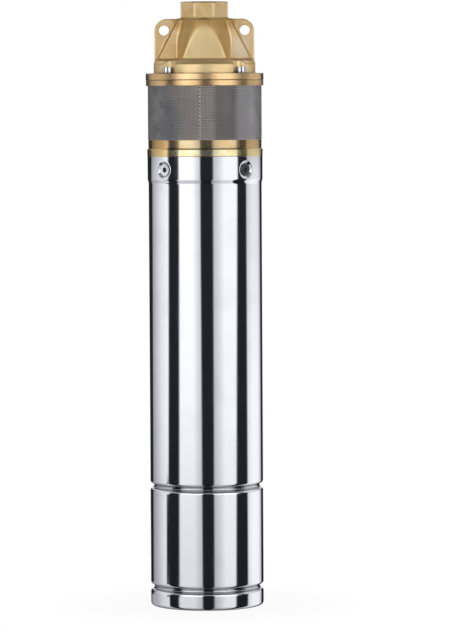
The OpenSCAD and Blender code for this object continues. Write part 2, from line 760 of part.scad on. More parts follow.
// Aluminium bracket of the lower bearing, held by the upper rolled groove.
module lower_bracket() {
  hub = lower_od / 2 + bracket_hub_wall;
  web_z = bracket_z + bracket_web;
  color([0.70, 0.71, 0.72]) difference() {
    translate([0, 0, bracket_z]) cylinder(h = bracket_h, r = plug_r);
    ring(web_z, bracket_h, plug_r - bracket_rim, hub);
    translate([0, 0, wave_z]) cylinder(h = bracket_h, r = lower_od / 2 + fit_gap);
    translate([0, 0, wave_z - 1.5]) cylinder(h = 2, r = lower_bore / 2 + 1);
    plug_groove(bracket_groove_z);
    cord_groove(bracket_groove_z + cord_offset, plug_r);
    four(0, (plug_r - bracket_rim + hub) / 2) translate([0, 0, bracket_z - 1])
      cylinder(h = bracket_web + 2, d = 7, $fn = 48);
  }
}

// Cover that closes the tube at the foot, held by the lower rolled groove.
module bottom_cover() {
  color([0.68, 0.69, 0.71]) difference() {
    union() {
      translate([0, 0, cover_z + foot_bend_r]) cylinder(h = cover_h - foot_bend_r, r = plug_r);
      translate([0, 0, cover_z]) cylinder(h = foot_bend_r, r1 = plug_r - foot_bend_r, r2 = plug_r);
    }
    translate([0, 0, cup_z]) cylinder(h = cover_h, r = cup_r);
    plug_groove(cover_groove_z);
    cord_groove(cover_groove_z + cord_offset - 0.6, plug_r);
  }
}

// Four bolts of the discharge head, seated on its rim.
module head_bolts() {
  color([0.80, 0.81, 0.83]) four(head_bolt_angle, head_pcd / 2) translate([0, 0, bolt_seat_z])
    socket_bolt(head_bolt_len);
}

// Four bolts from the foot ring into the motor flange.
module lantern_bolts() {
  color([0.80, 0.81, 0.83]) four(lantern_bolt_angle, lantern_pcd / 2) translate([0, 0, strainer_z])
    socket_bolt(lantern_bolt_len);
}

// Four countersunk socket screws in the band.
module band_screws() {
  seat = band_r - screw_sink;
  cone = (screw_head_d - screw_d) / 2;
  color([0.80, 0.81, 0.83]) four(45, 0) translate([0, 0, flange_z - screw_drop]) rotate([0, 90, 0])
    difference() {
      union() {
        translate([0, 0, seat - screw_len]) cylinder(h = screw_len - cone / 2, d = screw_d, $fn = 48);
        translate([0, 0, seat - cone]) cylinder(h = cone, d1 = screw_d, d2 = screw_head_d, $fn = 48);
      }
      translate([0, 0, seat - 2.2]) hex_bar(screw_socket, 4);
    }
}

// O-ring between the head and the lantern.
module head_oring() {
  color([0.10, 0.10, 0.10]) cord_ring(split_z - head_cord_d / 2, head_cord_r, head_cord_d);
}

// O-ring of the motor flange.
module flange_oring() {
  color([0.10, 0.10, 0.10]) cord_ring(flange_z - flange_cord_drop, spigot_r - cord_d / 2, cord_d);
}

// O-ring of the lower bracket.
module bracket_oring() {
  color([0.10, 0.10, 0.10]) cord_ring(bracket_groove_z + cord_offset, plug_r - cord_d / 2, cord_d);
}

// O-ring of the bottom cover.
module cover_oring() {
  color([0.10, 0.10, 0.10]) cord_ring(cover_groove_z + cord_offset - 0.6, plug_r - cord_d / 2, cord_d);
}

// Bush in the chamber floor, round the shaft.
module throat_bush() {
  color([0.72, 0.55, 0.32]) ring(plate_z, chamber_z - plate_z, bush_ro, bush_ri);
}

// Ceramic seat of the shaft seal.
module seal_seat() {
  color([0.93, 0.92, 0.88]) ring(seat_z, seat_h, seat_d / 2, seat_bore / 2);
}

// Rubber gasket round the seal seat.
module seat_gasket() {
  color([0.12, 0.12, 0.12]) ring(gasket_z, gasket_h, gasket_r, seat_d / 2 + fit_gap);
}

// Lip seal under the shaft seal.
module lip_seal() {
  color([0.14, 0.14, 0.15]) difference() {
    ring(lip_seal_z, lip_h, lip_d / 2, upper_bore / 2 + run_gap);
    ring(lip_seal_z + 1.6, lip_h, lip_d / 2 - 1.8, upper_bore / 2 + 1.6);
  }
}

// Rubber grommet that takes the cable through both rims.
module cable_grommet() {
  color([0.09, 0.09, 0.09]) translate([0, cable_r, 0]) difference() {
    union() {
      translate([0, 0, plate_z]) cylinder(h = bolt_seat_z - plate_z, d = grommet_d, $fn = 48);
      translate([0, 0, bolt_seat_z]) cylinder(h = collar_h, d = collar_d, $fn = 48);
    }
    translate([0, 0, plate_z - 1]) cylinder(h = bolt_seat_z - plate_z + collar_h + 2, d = cable_d, $fn = 48);
  }
}

// Hexagonal gland nut on the motor flange.
module cable_gland_nut() {
  color([0.74, 0.60, 0.35]) translate([0, gland_r, lantern_z]) difference() {
    union() {
      hex_bar(gland_w, gland_h);
      translate([0, 0, -gland_thread_h]) cylinder(h = gland_thread_h + 1, d = gland_thread_d, $fn = 48);
    }
    translate([0, 0, -gland_thread_h - 1]) cylinder(h = gland_thread_h + gland_h + 2, d = cable_d, $fn = 48);
  }
}

// Rubber cable seal under the gland nut.
module cable_seal() {
  color([0.10, 0.10, 0.10]) translate([0, gland_r, 0])
    ring(lantern_z - gland_thread_h - cable_seal_h, cable_seal_h, gland_thread_d / 2, cable_d / 2);
}

// Outer ring of the upper bearing.
module upper_bearing_outer() {
  color([0.75, 0.76, 0.78]) bearing_outer(upper_z, upper_w, upper_od, upper_pitch, upper_ball);
}

// Outer ring of the lower bearing.
module lower_bearing_outer() {
  color([0.75, 0.76, 0.78]) bearing_outer(lower_z, lower_w, lower_od, lower_pitch, lower_ball);
}

// Wave washer that presses on the lower bearing's outer ring.
module wave_washer() {
  n = 12 * wave_n;
  ri = lower_od / 2 - 4;
  ro = lower_od / 2 - 0.4;
  mid = wave_z + wave_h / 2;
  amp = (wave_h - wave_t) / 2 - 0.02;
  pts = [for (k = [0:n - 1]) let(a = 360 * k / n, z = mid + amp * sin(wave_n * a))
    each [[ri * cos(a), ri * sin(a), z - wave_t / 2], [ro * cos(a), ro * sin(a), z - wave_t / 2],
          [ro * cos(a), ro * sin(a), z + wave_t / 2], [ri * cos(a), ri * sin(a), z + wave_t / 2]]];
  sides = [for (k = [0:n - 1], j = [0:3]) let(p = 4 * k, q = 4 * ((k + 1) % n), m = (j + 1) % 4)
    each [[p + j, q + j, q + m], [p + j, q + m, p + m]]];
  color([0.70, 0.71, 0.73]) polyhedron(points = pts, faces = sides);
}

// One stator slot in outline, with play taken off all round.
module slot_outline(play) {
  polygon([
    [slot_r1 + play, -slot_w / 2 + play], [slot_r2 - play, -slot_w * 0.7 + play],
    [slot_r2 - play, slot_w * 0.7 - play], [slot_r1 + play, slot_w / 2 - play]]);
}

// Laminated stator core.
module stator_core() {
  color([0.42, 0.43, 0.46]) translate([0, 0, core_z]) linear_extrude(core_len) difference() {
    circle(r = plug_r);
    circle(r = stator_ri);
    for (k = [0:slot_n - 1]) rotate(360 * k / slot_n) {
      slot_outline(0);
      translate([stator_ri - 1, -slot_mouth / 2]) square([tooth_tip + 2, slot_mouth]);
    }
    for (k = [0:3]) rotate(45 + 90 * k) translate([plug_r - 1.6, -4]) square([4, 8]);
  }
}

// Copper winding: slot bars between two rings of end turns.
module stator_winding() {
  color([0.66, 0.36, 0.18]) union() {
    translate([0, 0, core_z - end_turn_gap - 1]) linear_extrude(core_len + 2 * end_turn_gap + 2)
      for (k = [0:slot_n - 1]) rotate(360 * k / slot_n) slot_outline(0.25);
    for (z = [core_z - end_turn_h, core_top + end_turn_gap])
      translate([0, 0, z]) rotate_extrude() end_turn_outline(end_turn_h - end_turn_gap);
  }
}

// Section of the end turns: a rounded block.
module end_turn_outline(h) {
  r = 3;
  translate([end_turn_ri, r]) square([end_turn_ro - end_turn_ri, h - 2 * r]);
  translate([end_turn_ri + r, 0]) square([end_turn_ro - end_turn_ri - 2 * r, h]);
  for (x = [end_turn_ri + r, end_turn_ro - r], y = [r, h - r]) translate([x, y]) circle(r = r);
}

// Thermal protector lying on the upper end turns.
module thermal_protector() {
  r = protector_w / 2;
  color([0.20, 0.20, 0.22]) translate([0, -(end_turn_ri + end_turn_ro) / 2, core_top + end_turn_h])
    linear_extrude(protector_h) union() {
      square([protector_l - 2 * r, protector_w], center = true);
      for (s = [-1, 1]) translate([s * (protector_l / 2 - r), 0]) circle(r = r);
    }
}

// Run capacitor standing in the bottom cover.
module run_capacitor() {
  color([0.86, 0.86, 0.84]) translate([0, 0, cup_z]) union() {
    cylinder(h = capacitor_h - 2, r = can_r);
    translate([0, 0, capacitor_h - 2]) cylinder(h = 2, r1 = can_r, r2 = can_r - 2);
    for (s = [-1, 1]) translate([s * 7 - 0.4, -3.2, capacitor_h - 1]) cube([0.8, 6.4, terminal_h + 1]);
  }
}

// Moulded holder that centres the capacitor in the cover.
module capacitor_holder() {
  color([0.15, 0.15, 0.16]) translate([0, 0, cup_z]) difference() {
    union() {
      cylinder(h = 3, r = cup_r - fit_gap);
      cylinder(h = holder_h, r = can_r + fit_gap + holder_wall);
      for (k = [0:5]) rotate([0, 0, 60 * k]) translate([can_r, -1.2, 0])
        cube([cup_r - fit_gap - can_r - 0.4, 2.4, holder_h * 0.7]);
    }
    translate([0, 0, -1]) cylinder(h = holder_h + 2, r = can_r + fit_gap);
  }
}

// Stepped shaft, from the lower bearing to the impeller nut.
module shaft() {
  color([0.80, 0.81, 0.83]) difference() {
    union() {
      translate([0, 0, shaft_z]) cylinder(h = lower_top - shaft_z + 1, d = lower_bore);
      translate([0, 0, lower_top]) cylinder(h = upper_z - lower_top, d = shaft_d);
      translate([0, 0, upper_z - 1]) cylinder(h = lip_seal_z + lip_h - upper_z + 1, d = upper_bore);
      translate([0, 0, upper_top]) cylinder(h = impeller_z - upper_top, d = seal_shaft_d);
      translate([0, 0, impeller_z - 1]) cylinder(h = hub_top - impeller_z, d = impeller_shaft_d);
      translate([0, 0, hub_top - 2]) cylinder(h = shaft_top - hub_top + 2, d = shaft_thread_d);
    }
    translate([-key_w / 2 - fit_gap, impeller_shaft_d / 2 - key_depth, key_z - fit_gap])
      cube([key_w + 2 * fit_gap, key_w, key_len + 2 * fit_gap]);
    ring(snap_z, snap_t + 2 * fit_gap, seal_shaft_d, seal_shaft_d / 2 - snap_depth);
  }
}

// Laminated rotor core.
module rotor_core() {
  color([0.45, 0.46, 0.48]) translate([0, 0, core_z]) linear_extrude(core_len) difference() {
    circle(r = rotor_r);
    circle(d = shaft_d + 2 * fit_gap);
    for (k = [0:bar_n - 1]) rotate(360 * k / bar_n) translate([bar_r, 0]) circle(d = bar_d, $fn = 24);
  }
}

// Cast squirrel cage: bars and two end rings.
module rotor_cage() {
  color([0.78, 0.79, 0.80]) union() {
    ring(core_z - end_ring_h, end_ring_h, rotor_r - 0.4, rotor_r - end_ring_w);
    ring(core_top, end_ring_h, rotor_r - 0.4, rotor_r - end_ring_w);
    translate([0, 0, core_z - 1]) linear_extrude(core_len + 2)
      for (k = [0:bar_n - 1]) rotate(360 * k / bar_n) translate([bar_r, 0])
        circle(d = bar_d - 2 * fit_gap, $fn = 24);
  }
}

// One row of peripheral vanes in outline.
module vane_outline(shift) {
  difference() {
    circle(d = impeller_d);
    for (k = [0:vane_n - 1]) rotate((k + shift) * 360 / vane_n) vane_gap();
  }
}

// The gap between two vanes, wider at the rim.
module vane_gap() {
  r1 = impeller_d / 2 - vane_len;
  r2 = impeller_d / 2 + 1;
  w1 = 2 * PI * r1 / vane_n - vane_t;
  w2 = 2 * PI * r2 / vane_n - vane_t;
  polygon([[r1, -w1 / 2], [r2, -w2 / 2], [r2, w2 / 2], [r1, w1 / 2]]);
}

// Brass peripheral impeller with vanes on both faces, keyed to the shaft.
module impeller() {
  row = (impeller_h - vane_web) / 2;
  bore = impeller_shaft_d + 2 * fit_gap;
  color([0.80, 0.64, 0.36]) difference() {
    union() {
      translate([0, 0, impeller_z]) linear_extrude(row) vane_outline(0);
      translate([0, 0, impeller_z + row]) cylinder(h = vane_web, d = impeller_d);
      translate([0, 0, impeller_z + row + vane_web]) linear_extrude(row) vane_outline(0.5);
      translate([0, 0, impeller_top - 1]) cylinder(h = hub_h + 1, r = hub_r);
    }
    translate([0, 0, impeller_z - 1]) cylinder(h = impeller_h + hub_h + 2, d = bore);
    translate([-key_w / 2 - fit_gap, 0, impeller_z - 1])
      cube([key_w + 2 * fit_gap, impeller_shaft_d / 2 + key_depth + fit_gap, impeller_h + hub_h + 2]);
    four(45, relief_r) translate([0, 0, impeller_z - 1])
      cylinder(h = impeller_h + 2, d = relief_d, $fn = 48);
  }
}

// Key between the shaft and the impeller.
module impeller_key() {
  color([0.72, 0.73, 0.75]) translate([-key_w / 2, impeller_shaft_d / 2 - key_depth, key_z])
    cube([key_w, 2 * key_depth, key_len]);
}

// Washer under the impeller nut.
module impeller_washer() {
  color([0.78, 0.79, 0.81]) ring(hub_top, washer_t, hub_r - 1, shaft_thread_d / 2 + bolt_gap);
}

// Nut that holds the impeller.
module impeller_nut() {
  color([0.78, 0.79, 0.81]) translate([0, 0, nut_z]) difference() {
    hex_bar(nut_w, nut_h);
    translate([0, 0, -1]) cylinder(h = nut_h + 2, d = shaft_thread_d + 2 * fit_gap, $fn = 48);
  }
}

// Inner ring of the upper bearing.
module upper_bearing_inner() {
  color([0.75, 0.76, 0.78]) bearing_inner(upper_z, upper_w, upper_bore, upper_pitch, upper_ball);
}

// Inner ring of the lower bearing.
module lower_bearing_inner() {
  color([0.75, 0.76, 0.78]) bearing_inner(lower_z, lower_w, lower_bore, lower_pitch, lower_ball);
}

// Carbon face of the shaft seal.
module seal_carbon() {
  color([0.16, 0.16, 0.17]) ring(carbon_z, carbon_h, carbon_d / 2, seal_shaft_d / 2 + fit_gap);
}

// Bellows head that carries the carbon face.
module seal_bellows() {
  color([0.11, 0.11, 0.12]) ring(bellows_z, bellows_h, bellows_d / 2, seal_shaft_d / 2 + fit_gap);
}

// Coil spring of the shaft seal.
module seal_spring() {
  per_turn = 16;
  sides = 6;
  n = spring_turns * per_turn;
  wire_r = spring_wire / 2;
  mean = seal_shaft_d / 2 + wire_r + 1.2;
  rise = spring_h - spring_wire - 0.1;
  pts = [for (i = [0:n], j = [0:sides - 1])
    let(a = 360 * i / per_turn, b = 360 * j / sides, r = mean + wire_r * cos(b))
    [r * cos(a), r * sin(a), spring_z + 0.05 + wire_r + rise * i / n + wire_r * sin(b)]];
  skin = [for (i = [0:n - 1], j = [0:sides - 1])
    let(p = sides * i, q = sides * (i + 1), m = (j + 1) % sides)
    each [[p + j, p + m, q + m], [p + j, q + m, q + j]]];
  caps = [[for (j = [sides - 1:-1:0]) j], [for (j = [0:sides - 1]) sides * n + j]];
  color([0.80, 0.81, 0.83]) polyhedron(points = pts, faces = concat(skin, caps));
}

// Collar that the seal spring bears on.
module spring_collar() {
  color([0.78, 0.79, 0.81]) ring(collar_z, collar_t, bellows_d / 2, seal_shaft_d / 2 + fit_gap);
}

// Snap ring that holds the collar on the shaft.
module snap_ring() {
  color([0.30, 0.30, 0.32]) difference() {
    ring(snap_z + fit_gap, snap_t, seal_shaft_d / 2 + 2, seal_shaft_d / 2 - snap_depth + fit_gap);
    translate([0, -1.5, snap_z - 1]) cube([seal_shaft_d, 3, snap_t + 3]);
  }
}

// Balls of the upper bearing.
module upper_balls() {
  color([0.85, 0.86, 0.88]) translate([0, 0, upper_z + upper_w / 2]) ball_circle(upper_pitch, upper_ball);
}

// Cage of the upper bearing.
module upper_ball_cage() {
  color([0.70, 0.57, 0.32]) bearing_cage(upper_z, upper_w, upper_pitch, upper_ball);
}

// Balls of the lower bearing.
module lower_balls() {
  color([0.85, 0.86, 0.88]) translate([0, 0, lower_z + lower_w / 2]) ball_circle(lower_pitch, lower_ball);
}

// Cage of the lower bearing.
module lower_ball_cage() {
  color([0.70, 0.57, 0.32]) bearing_cage(lower_z, lower_w, lower_pitch, lower_ball);
}

discharge_head();
suction_lantern();
strainer();
motor_flange();
motor_tube();
lower_bracket();
bottom_cover();
head_bolts();
lantern_bolts();
band_screws();
head_oring();
flange_oring();
bracket_oring();
cover_oring();
throat_bush();
seal_seat();
seat_gasket();
lip_seal();
cable_grommet();
cable_gland_nut();
cable_seal();
upper_bearing_outer();
lower_bearing_outer();
wave_washer();
stator_core();
stator_winding();
thermal_protector();
run_capacitor();
capacitor_holder();
shaft();
rotor_core();
rotor_cage();
impeller();
impeller_key();
impeller_washer();
impeller_nut();
upper_bearing_inner();
lower_bearing_inner();
seal_carbon();
seal_bellows();
seal_spring();
spring_collar();
snap_ring();
upper_balls();
upper_ball_cage();
lower_balls();
lower_ball_cage();
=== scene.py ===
import math
from itertools import product

import bmesh
import bpy
import numpy as np
from bpy.props import FloatProperty, FloatVectorProperty, IntProperty, PointerProperty
from bpy.types import Operator, Panel, PropertyGroup
from mathutils import Matrix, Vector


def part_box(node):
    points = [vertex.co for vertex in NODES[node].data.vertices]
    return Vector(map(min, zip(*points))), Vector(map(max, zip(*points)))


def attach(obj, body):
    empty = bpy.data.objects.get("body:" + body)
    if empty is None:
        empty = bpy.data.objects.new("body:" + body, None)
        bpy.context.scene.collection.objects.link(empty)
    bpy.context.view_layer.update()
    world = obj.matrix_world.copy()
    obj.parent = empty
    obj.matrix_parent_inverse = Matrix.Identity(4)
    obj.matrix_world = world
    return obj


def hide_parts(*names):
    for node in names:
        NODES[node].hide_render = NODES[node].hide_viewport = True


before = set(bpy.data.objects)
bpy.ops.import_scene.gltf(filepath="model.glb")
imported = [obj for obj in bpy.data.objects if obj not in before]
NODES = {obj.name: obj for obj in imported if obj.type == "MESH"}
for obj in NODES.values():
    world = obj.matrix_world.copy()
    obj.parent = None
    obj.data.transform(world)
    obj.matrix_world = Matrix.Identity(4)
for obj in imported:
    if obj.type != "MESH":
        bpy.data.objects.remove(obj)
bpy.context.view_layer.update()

bl_info = {
    "name": "Borehole pump dressing",
    "version": (1, 0, 0),
    "blender": (4, 5, 0),
    "location": "3D View > Sidebar > Pump",
    "description": "Cast, turned, perforated and polished surfaces for a borehole submersible pump",
    "category": "Object",
}

HOUSING = "housing"
MM = 0.001
HEAD_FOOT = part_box("discharge_head")[0].z
HEAD_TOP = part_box("discharge_head")[1].z
HEAD_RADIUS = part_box("discharge_head")[1].x
SHEET_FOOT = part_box("strainer")[0].z
SHEET_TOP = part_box("strainer")[1].z
SHEET_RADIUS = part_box("strainer")[1].x
TUBE_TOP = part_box("motor_tube")[1].z
BAND_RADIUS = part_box("motor_tube")[1].x
PHOTO_HEIGHT = 633


# Sizes and colours that a user would change


def length(label, meaning, millimetres):
    """A size, written in millimetres and held in metres."""
    return FloatProperty(
        name=label, description=meaning, default=millimetres * MM,
        subtype="DISTANCE", unit="LENGTH", precision=5,
    )


def turn(label, meaning, degrees):
    """An angle, written in degrees and held in radians."""
    return FloatProperty(
        name=label, description=meaning, default=math.radians(degrees), subtype="ANGLE", unit="ROTATION"
    )


def share(label, meaning, value):
    """A plain number between 0 and 1."""
    return FloatProperty(name=label, description=meaning, default=value, min=0.0, max=1.0, subtype="FACTOR")


def amount(label, meaning, value):
    """A whole number."""
    return IntProperty(name=label, description=meaning, default=value)


def colour(label, meaning, red, green, blue):
    """A colour, written as 0 to 255 on screen and held as linear light."""
    linear = [((v / 255 + 0.055) / 1.055) ** 2.4 if v > 10 else v / 255 / 12.92 for v in (red, green, blue)]
    return FloatVectorProperty(
        name=label, description=meaning, default=linear, size=3, min=0.0, max=1.0, subtype="COLOR"
    )


class PumpHeadSizes(PropertyGroup):
    """Sizes of the discharge head"""

    rim_height: length("Rim height", "Height of the turned rim at the foot of the head", 5.7)
    rim_edge: length("Rim edge", "Rounding of the rim's outer edges", 0.55)
    base_radius: length("Base radius", "Radius of the cast base over the rim", 42.0)
    base_height: length("Base height", "Height of the cast base", 10.6)
    base_chamfer: length("Base chamfer", "Chamfer round the top of the base", 2.6)
    body_height: length("Body height", "Height from the base to the neck", 35.1)
    body_width: length("Body width", "Width over the flats of the square body", 43.0)
    cone_foot: length("Cone foot radius", "Radius of the body cone at the base", 28.5)
    cone_top: length("Cone top radius", "Radius of the body cone under the neck", 20.5)
    shoulder: length("Neck shoulder", "Height of the sloping shoulder under the neck", 1.2)
    neck_width: length("Neck width", "Width over the flats of the octagonal neck", 39.2)
    neck_chamfer: length("Neck chamfer", "Turned chamfer on the neck's corners", 1.2)
    gusset_width: length("Gusset thickness", "Thickness of the two gussets", 22.0)
    gusset_foot: length("Gusset foot", "Reach of a gusset at the base", 39.6)
    gusset_top: length("Gusset top", "Reach of a gusset under the neck", 21.6)
    gusset_drop: length("Gusset drop", "Depth of the gusset's top below the neck's foot", 1.0)
    ear_width: length("Ear width", "Width over the ear plate", 82.8)
    ear_thickness: length("Ear thickness", "Thickness of the ear plate", 7.0)
    ear_drop: length("Ear drop", "Depth of the ear plate's top below the neck's foot", 0.6)
    ear_corner: length("Ear corner", "Radius of the ear plate's corners", 10.4)
    eye_span: length("Eye spacing", "Distance between the two rope eyes", 67.2)
    eye_drop: length("Eye drop", "Depth of the eye centres below the neck's foot", 10.1)
    eye_radius: length("Eye radius", "Radius of a rope eye", 4.2)
    pocket_circle: length("Pocket circle", "Radius at which the bolt pockets lie", 43.0)
    pocket_radius: length("Pocket radius", "Radius of a bolt pocket", 6.5)
    notch_place: length("Cable place", "Radius at which the cable passes the rim", 41.0)
    notch_radius: length("Cable notch", "Radius of the notch round the cable grommet", 7.5)
    hole_radius: length("Cable hole", "Radius of the hole for the cable grommet", 4.65)
    cavity_radius: length("Cavity radius", "Radius of the discharge cavity", 15.15)
    liner_radius: length("Thread seat", "Radius in which the outlet thread is cut", 17.3)
    chamber_radius: length("Chamber radius", "Radius of the pump chamber under the head", 33.4)
    chamber_height: length("Chamber height", "Height of the pump chamber in the head", 4.0)
    fillet: length("Fillet", "Blend in the inner corners of the casting", 2.2)
    edge: length("Edge", "Rounding of the casting's outer edges", 1.0)
    crisp_edge: length("Machined edge", "Rounding of the machined edges at the neck and the eyes", 0.5)
    grid: length("Grid", "Spacing of the points on the casting", 0.5)
    rim_columns: amount("Rim columns", "Points round the turned rim", 192)
    # The pale patch is painted light: a lighter patch on the right of the casting's front, where light
    # falls.
    pale_place: length("Pale patch place", "How far the pale patch lies to the right of the axis", 30.0)
    pale_drop: length("Pale patch drop", "Depth of the pale patch below the neck", 25.0)
    pale_reach: length("Pale patch reach", "How far the pale patch reaches to each side", 10.0)
    pale_rise: length("Pale patch rise", "How far the pale patch reaches up and down", 13.0)


class PumpThreadSizes(PropertyGroup):
    """Sizes of the outlet thread"""

    depth: length("Outlet depth", "Depth of the threaded outlet", 16.0)
    root: length("Root radius", "Radius of the thread at its root", 16.62)
    crest: length("Crest radius", "Radius of the thread at its crest", 15.15)
    pitch: length("Pitch", "Pitch of the thread", 2.309)
    flat: share("Flat", "Share of the pitch that is flat at the root and at the crest", 0.12)
    lead_in: length("Lead-in", "Height of the countersink at the mouth", 1.4)
    columns: amount("Columns", "Points round the thread", 144)
    rows: amount("Rows", "Points over the thread's height", 96)


class PumpStrainerSizes(PropertyGroup):
    """Sizes of the perforated strainer sheet"""

    sheet: length("Sheet", "Thickness of the sheet", 0.8)
    hole_radius: length("Hole radius", "Radius of one hole", 0.42)
    columns: amount("Columns", "Holes round the strainer in one row", 136)
    rows: amount("Rows", "Rows of holes", 27)
    margin: length("Margin", "Plain edge above and below the holes", 1.0)
    phase: share("Phase", "Turn of the whole pattern, in parts of one hole's pitch", 0.875)
    seam_place: turn("Seam place", "Angle of the seam from the front, to the right", -4.4)
    seam_width: length("Seam width", "Width of the overlap at the seam", 1.6)
    seam_height: length("Seam height", "How far the overlap stands out from the sheet", 0.2)
    heat_reach: length("Heat tint", "How far the heat tint reaches from the seam", 30.0)
    weld_pitch: length("Weld pitch", "Distance between the weld spots on the seam", 3.1)
    seam_rows: amount("Seam rows", "Points over the seam's height", 120)


class PumpTubeSizes(PropertyGroup):
    """Sizes of the rolled motor tube"""

    radius: length("Tube radius", "Radius of the tube below the band", 47.3)
    wall: length("Wall", "Wall of the tube", 1.2)
    band_height: length("Band height", "Height of the swollen band", 18.6)
    slope_height: length("Slope height", "Height of the slope under the band", 4.0)
    groove_depth: length("Groove depth", "Depth of the rolled grooves", 3.0)
    bend: length("Groove bend", "Radius of the bends beside a groove", 2.6)
    root: length("Groove root", "Radius in the root of a groove", 1.8)
    upper_groove: length("Upper groove", "Height of the upper groove", 100.7)
    lower_groove: length("Lower groove", "Height of the lower groove", 16.3)
    foot_bend: length("Foot bend", "Radius of the rolled foot", 3.2)
    foot_lip: length("Foot lip", "Width of the lip under the tube", 6.5)
    screw_drop: length("Screw drop", "Depth of the band screws below the top edge", 10.8)
    screw_angle: turn("Screw angle", "Angle of the first band screw from the front", 45.0)
    dimple_outer: length("Dimple radius", "Radius at which a screw's dimple begins", 7.6)
    dimple_inner: length("Dimple floor", "Radius of a dimple's floor", 5.1)
    hole_inner: length("Screw hole", "Radius at which the hole under a screw head is deepest", 2.6)
    hole_depth: length("Screw hole depth", "Depth of the hole under a screw head", 5.0)
    dimple_depth: length("Dimple depth", "Depth of a dimple's floor", 1.15)
    columns: amount("Columns", "Points round the tube between the dimples", 144)
    dimple_columns: amount("Dimple columns", "Points across one dimple", 33)
    band_rows: amount("Band rows", "Points over the band's height", 44)


class PumpColours(PropertyGroup):
    """Colours of the finishes"""

    cast_light: colour("Cast brass", "Main colour of the cast brass", 238, 208, 158)
    cast_dark: colour("Cast brass, tarnished", "Tarnished patches of the cast brass", 222, 188, 128)
    # Painted light: a lighter patch on the right of the casting's front.
    cast_lit_patch: colour("Cast brass, pale", "Paler patch on the front of the casting", 246, 224, 194)
    # Edges lighter with wear; also painted on the casting's front and rear faces and on its neck's edges as
    # a highlight.
    cast_worn_and_lit: colour("Cast brass, worn", "Worn edges of the cast brass", 252, 230, 180)
    rim_light: colour("Rim brass", "Turned brass of the two upper rims", 222, 188, 141)
    rim_dark: colour("Rim brass, tarnished", "Tarnished patches of the two upper rims", 205, 168, 112)
    foot_light: colour("Foot ring brass", "Turned brass of the lantern's foot ring", 216, 194, 156)
    foot_dark: colour("Foot ring brass, tarnished", "Tarnished patches of the foot ring", 206, 176, 126)
    ring_light: colour("Ring brass", "Turned brass of the motor flange", 246, 240, 202)
    ring_dark: colour("Ring brass, tarnished", "Tarnished patches of the motor flange", 228, 208, 152)
    tube_light: colour("Tube steel", "Polished stainless steel of the tube", 226, 228, 234)
    tube_dark: colour("Tube steel, smudged", "Smudges on the tube", 220, 222, 229)
    sheet_light: colour("Strainer steel", "Blank stainless sheet of the strainer", 148, 147, 149)
    sheet_dark: colour("Strainer steel, dull", "Dull patches of the strainer", 124, 122, 124)
    sheet_warm: colour("Strainer steel, warm", "Warm patches of the strainer", 162, 150, 142)
    sheet_cool: colour("Strainer steel, cool", "Bluish patches of the strainer", 120, 127, 136)
    sheet_heat: colour("Strainer steel, heated", "Heat tint of the strainer beside its seam", 143, 135, 129)
    # Painted shade in upright stripes on the front of the strainer.
    sheet_shade: colour("Strainer steel, shaded", "Darker stripes of the strainer", 106, 103, 102)
    # Painted highlight in upright stripes on the front of the strainer.
    sheet_highlight: colour("Strainer steel, rubbed", "Lighter stripe of the strainer", 196, 193, 195)
    # The seam is painted lighter, a painted highlight along its raised strip.
    seam_highlight: colour("Seam steel", "Rubbed steel of the strainer's seam", 172, 167, 156)
    bolt_light: colour("Bolt steel", "Bright steel of the fasteners", 214, 216, 220)
    bolt_dark: colour("Bolt steel, dull", "Dull patches of the fasteners", 180, 182, 188)
    rubber: colour("Rubber", "Black rubber of the seals", 34, 34, 35)
    aluminium: colour("Aluminium", "Cast aluminium of the brackets", 188, 190, 192)
    lamination: colour("Core sheet", "Edges of the stacked core sheets", 92, 92, 96)
    copper: colour("Winding", "Enamelled copper of the winding", 168, 88, 48)
    moulding: colour("Moulding", "Dark moulded plastic", 52, 53, 56)
    ceramic: colour("Ceramic", "Ceramic of the seal seat", 232, 228, 218)
    carbon: colour("Carbon", "Carbon of the seal face", 46, 46, 48)


class PumpStage(PropertyGroup):
    """Camera and studio"""

    distance: length("Camera distance", "Distance of the camera from the pump's axis", 3290.0)
    height: length("Camera height", "Height of the camera over the floor", 421.5)
    aside: length("Camera offset", "How far the camera stands to the right", 15.5)
    tilt: turn("Camera tilt", "How far the camera looks down", 3.137)
    roll: turn("Camera roll", "Turn of the camera about its view", -0.31)
    focal_pixels: FloatProperty(
        name="Focal length", description="Focal length in photo pixels", default=3950.0
    )
    floor_radius: length("Floor radius", "Radius of the pale floor", 170.0)
    ring_radius: length("Light ring radius", "Radius of the ring of light panels", 2200.0)
    ring_foot: length("Light ring foot", "Height of the ring's lower edge", -900.0)
    ring_top: length("Light ring top", "Height of the ring's upper edge", 2300.0)
    ground: share("Ground", "Share of the ring's light on the ground, which only mirrors show", 0.85)
    ceiling: share("Ceiling", "Share of the ring's light on the ceiling", 0.6)
    sky: share("Sky", "Strength of the light from above", 0.75)


# Shader expressions


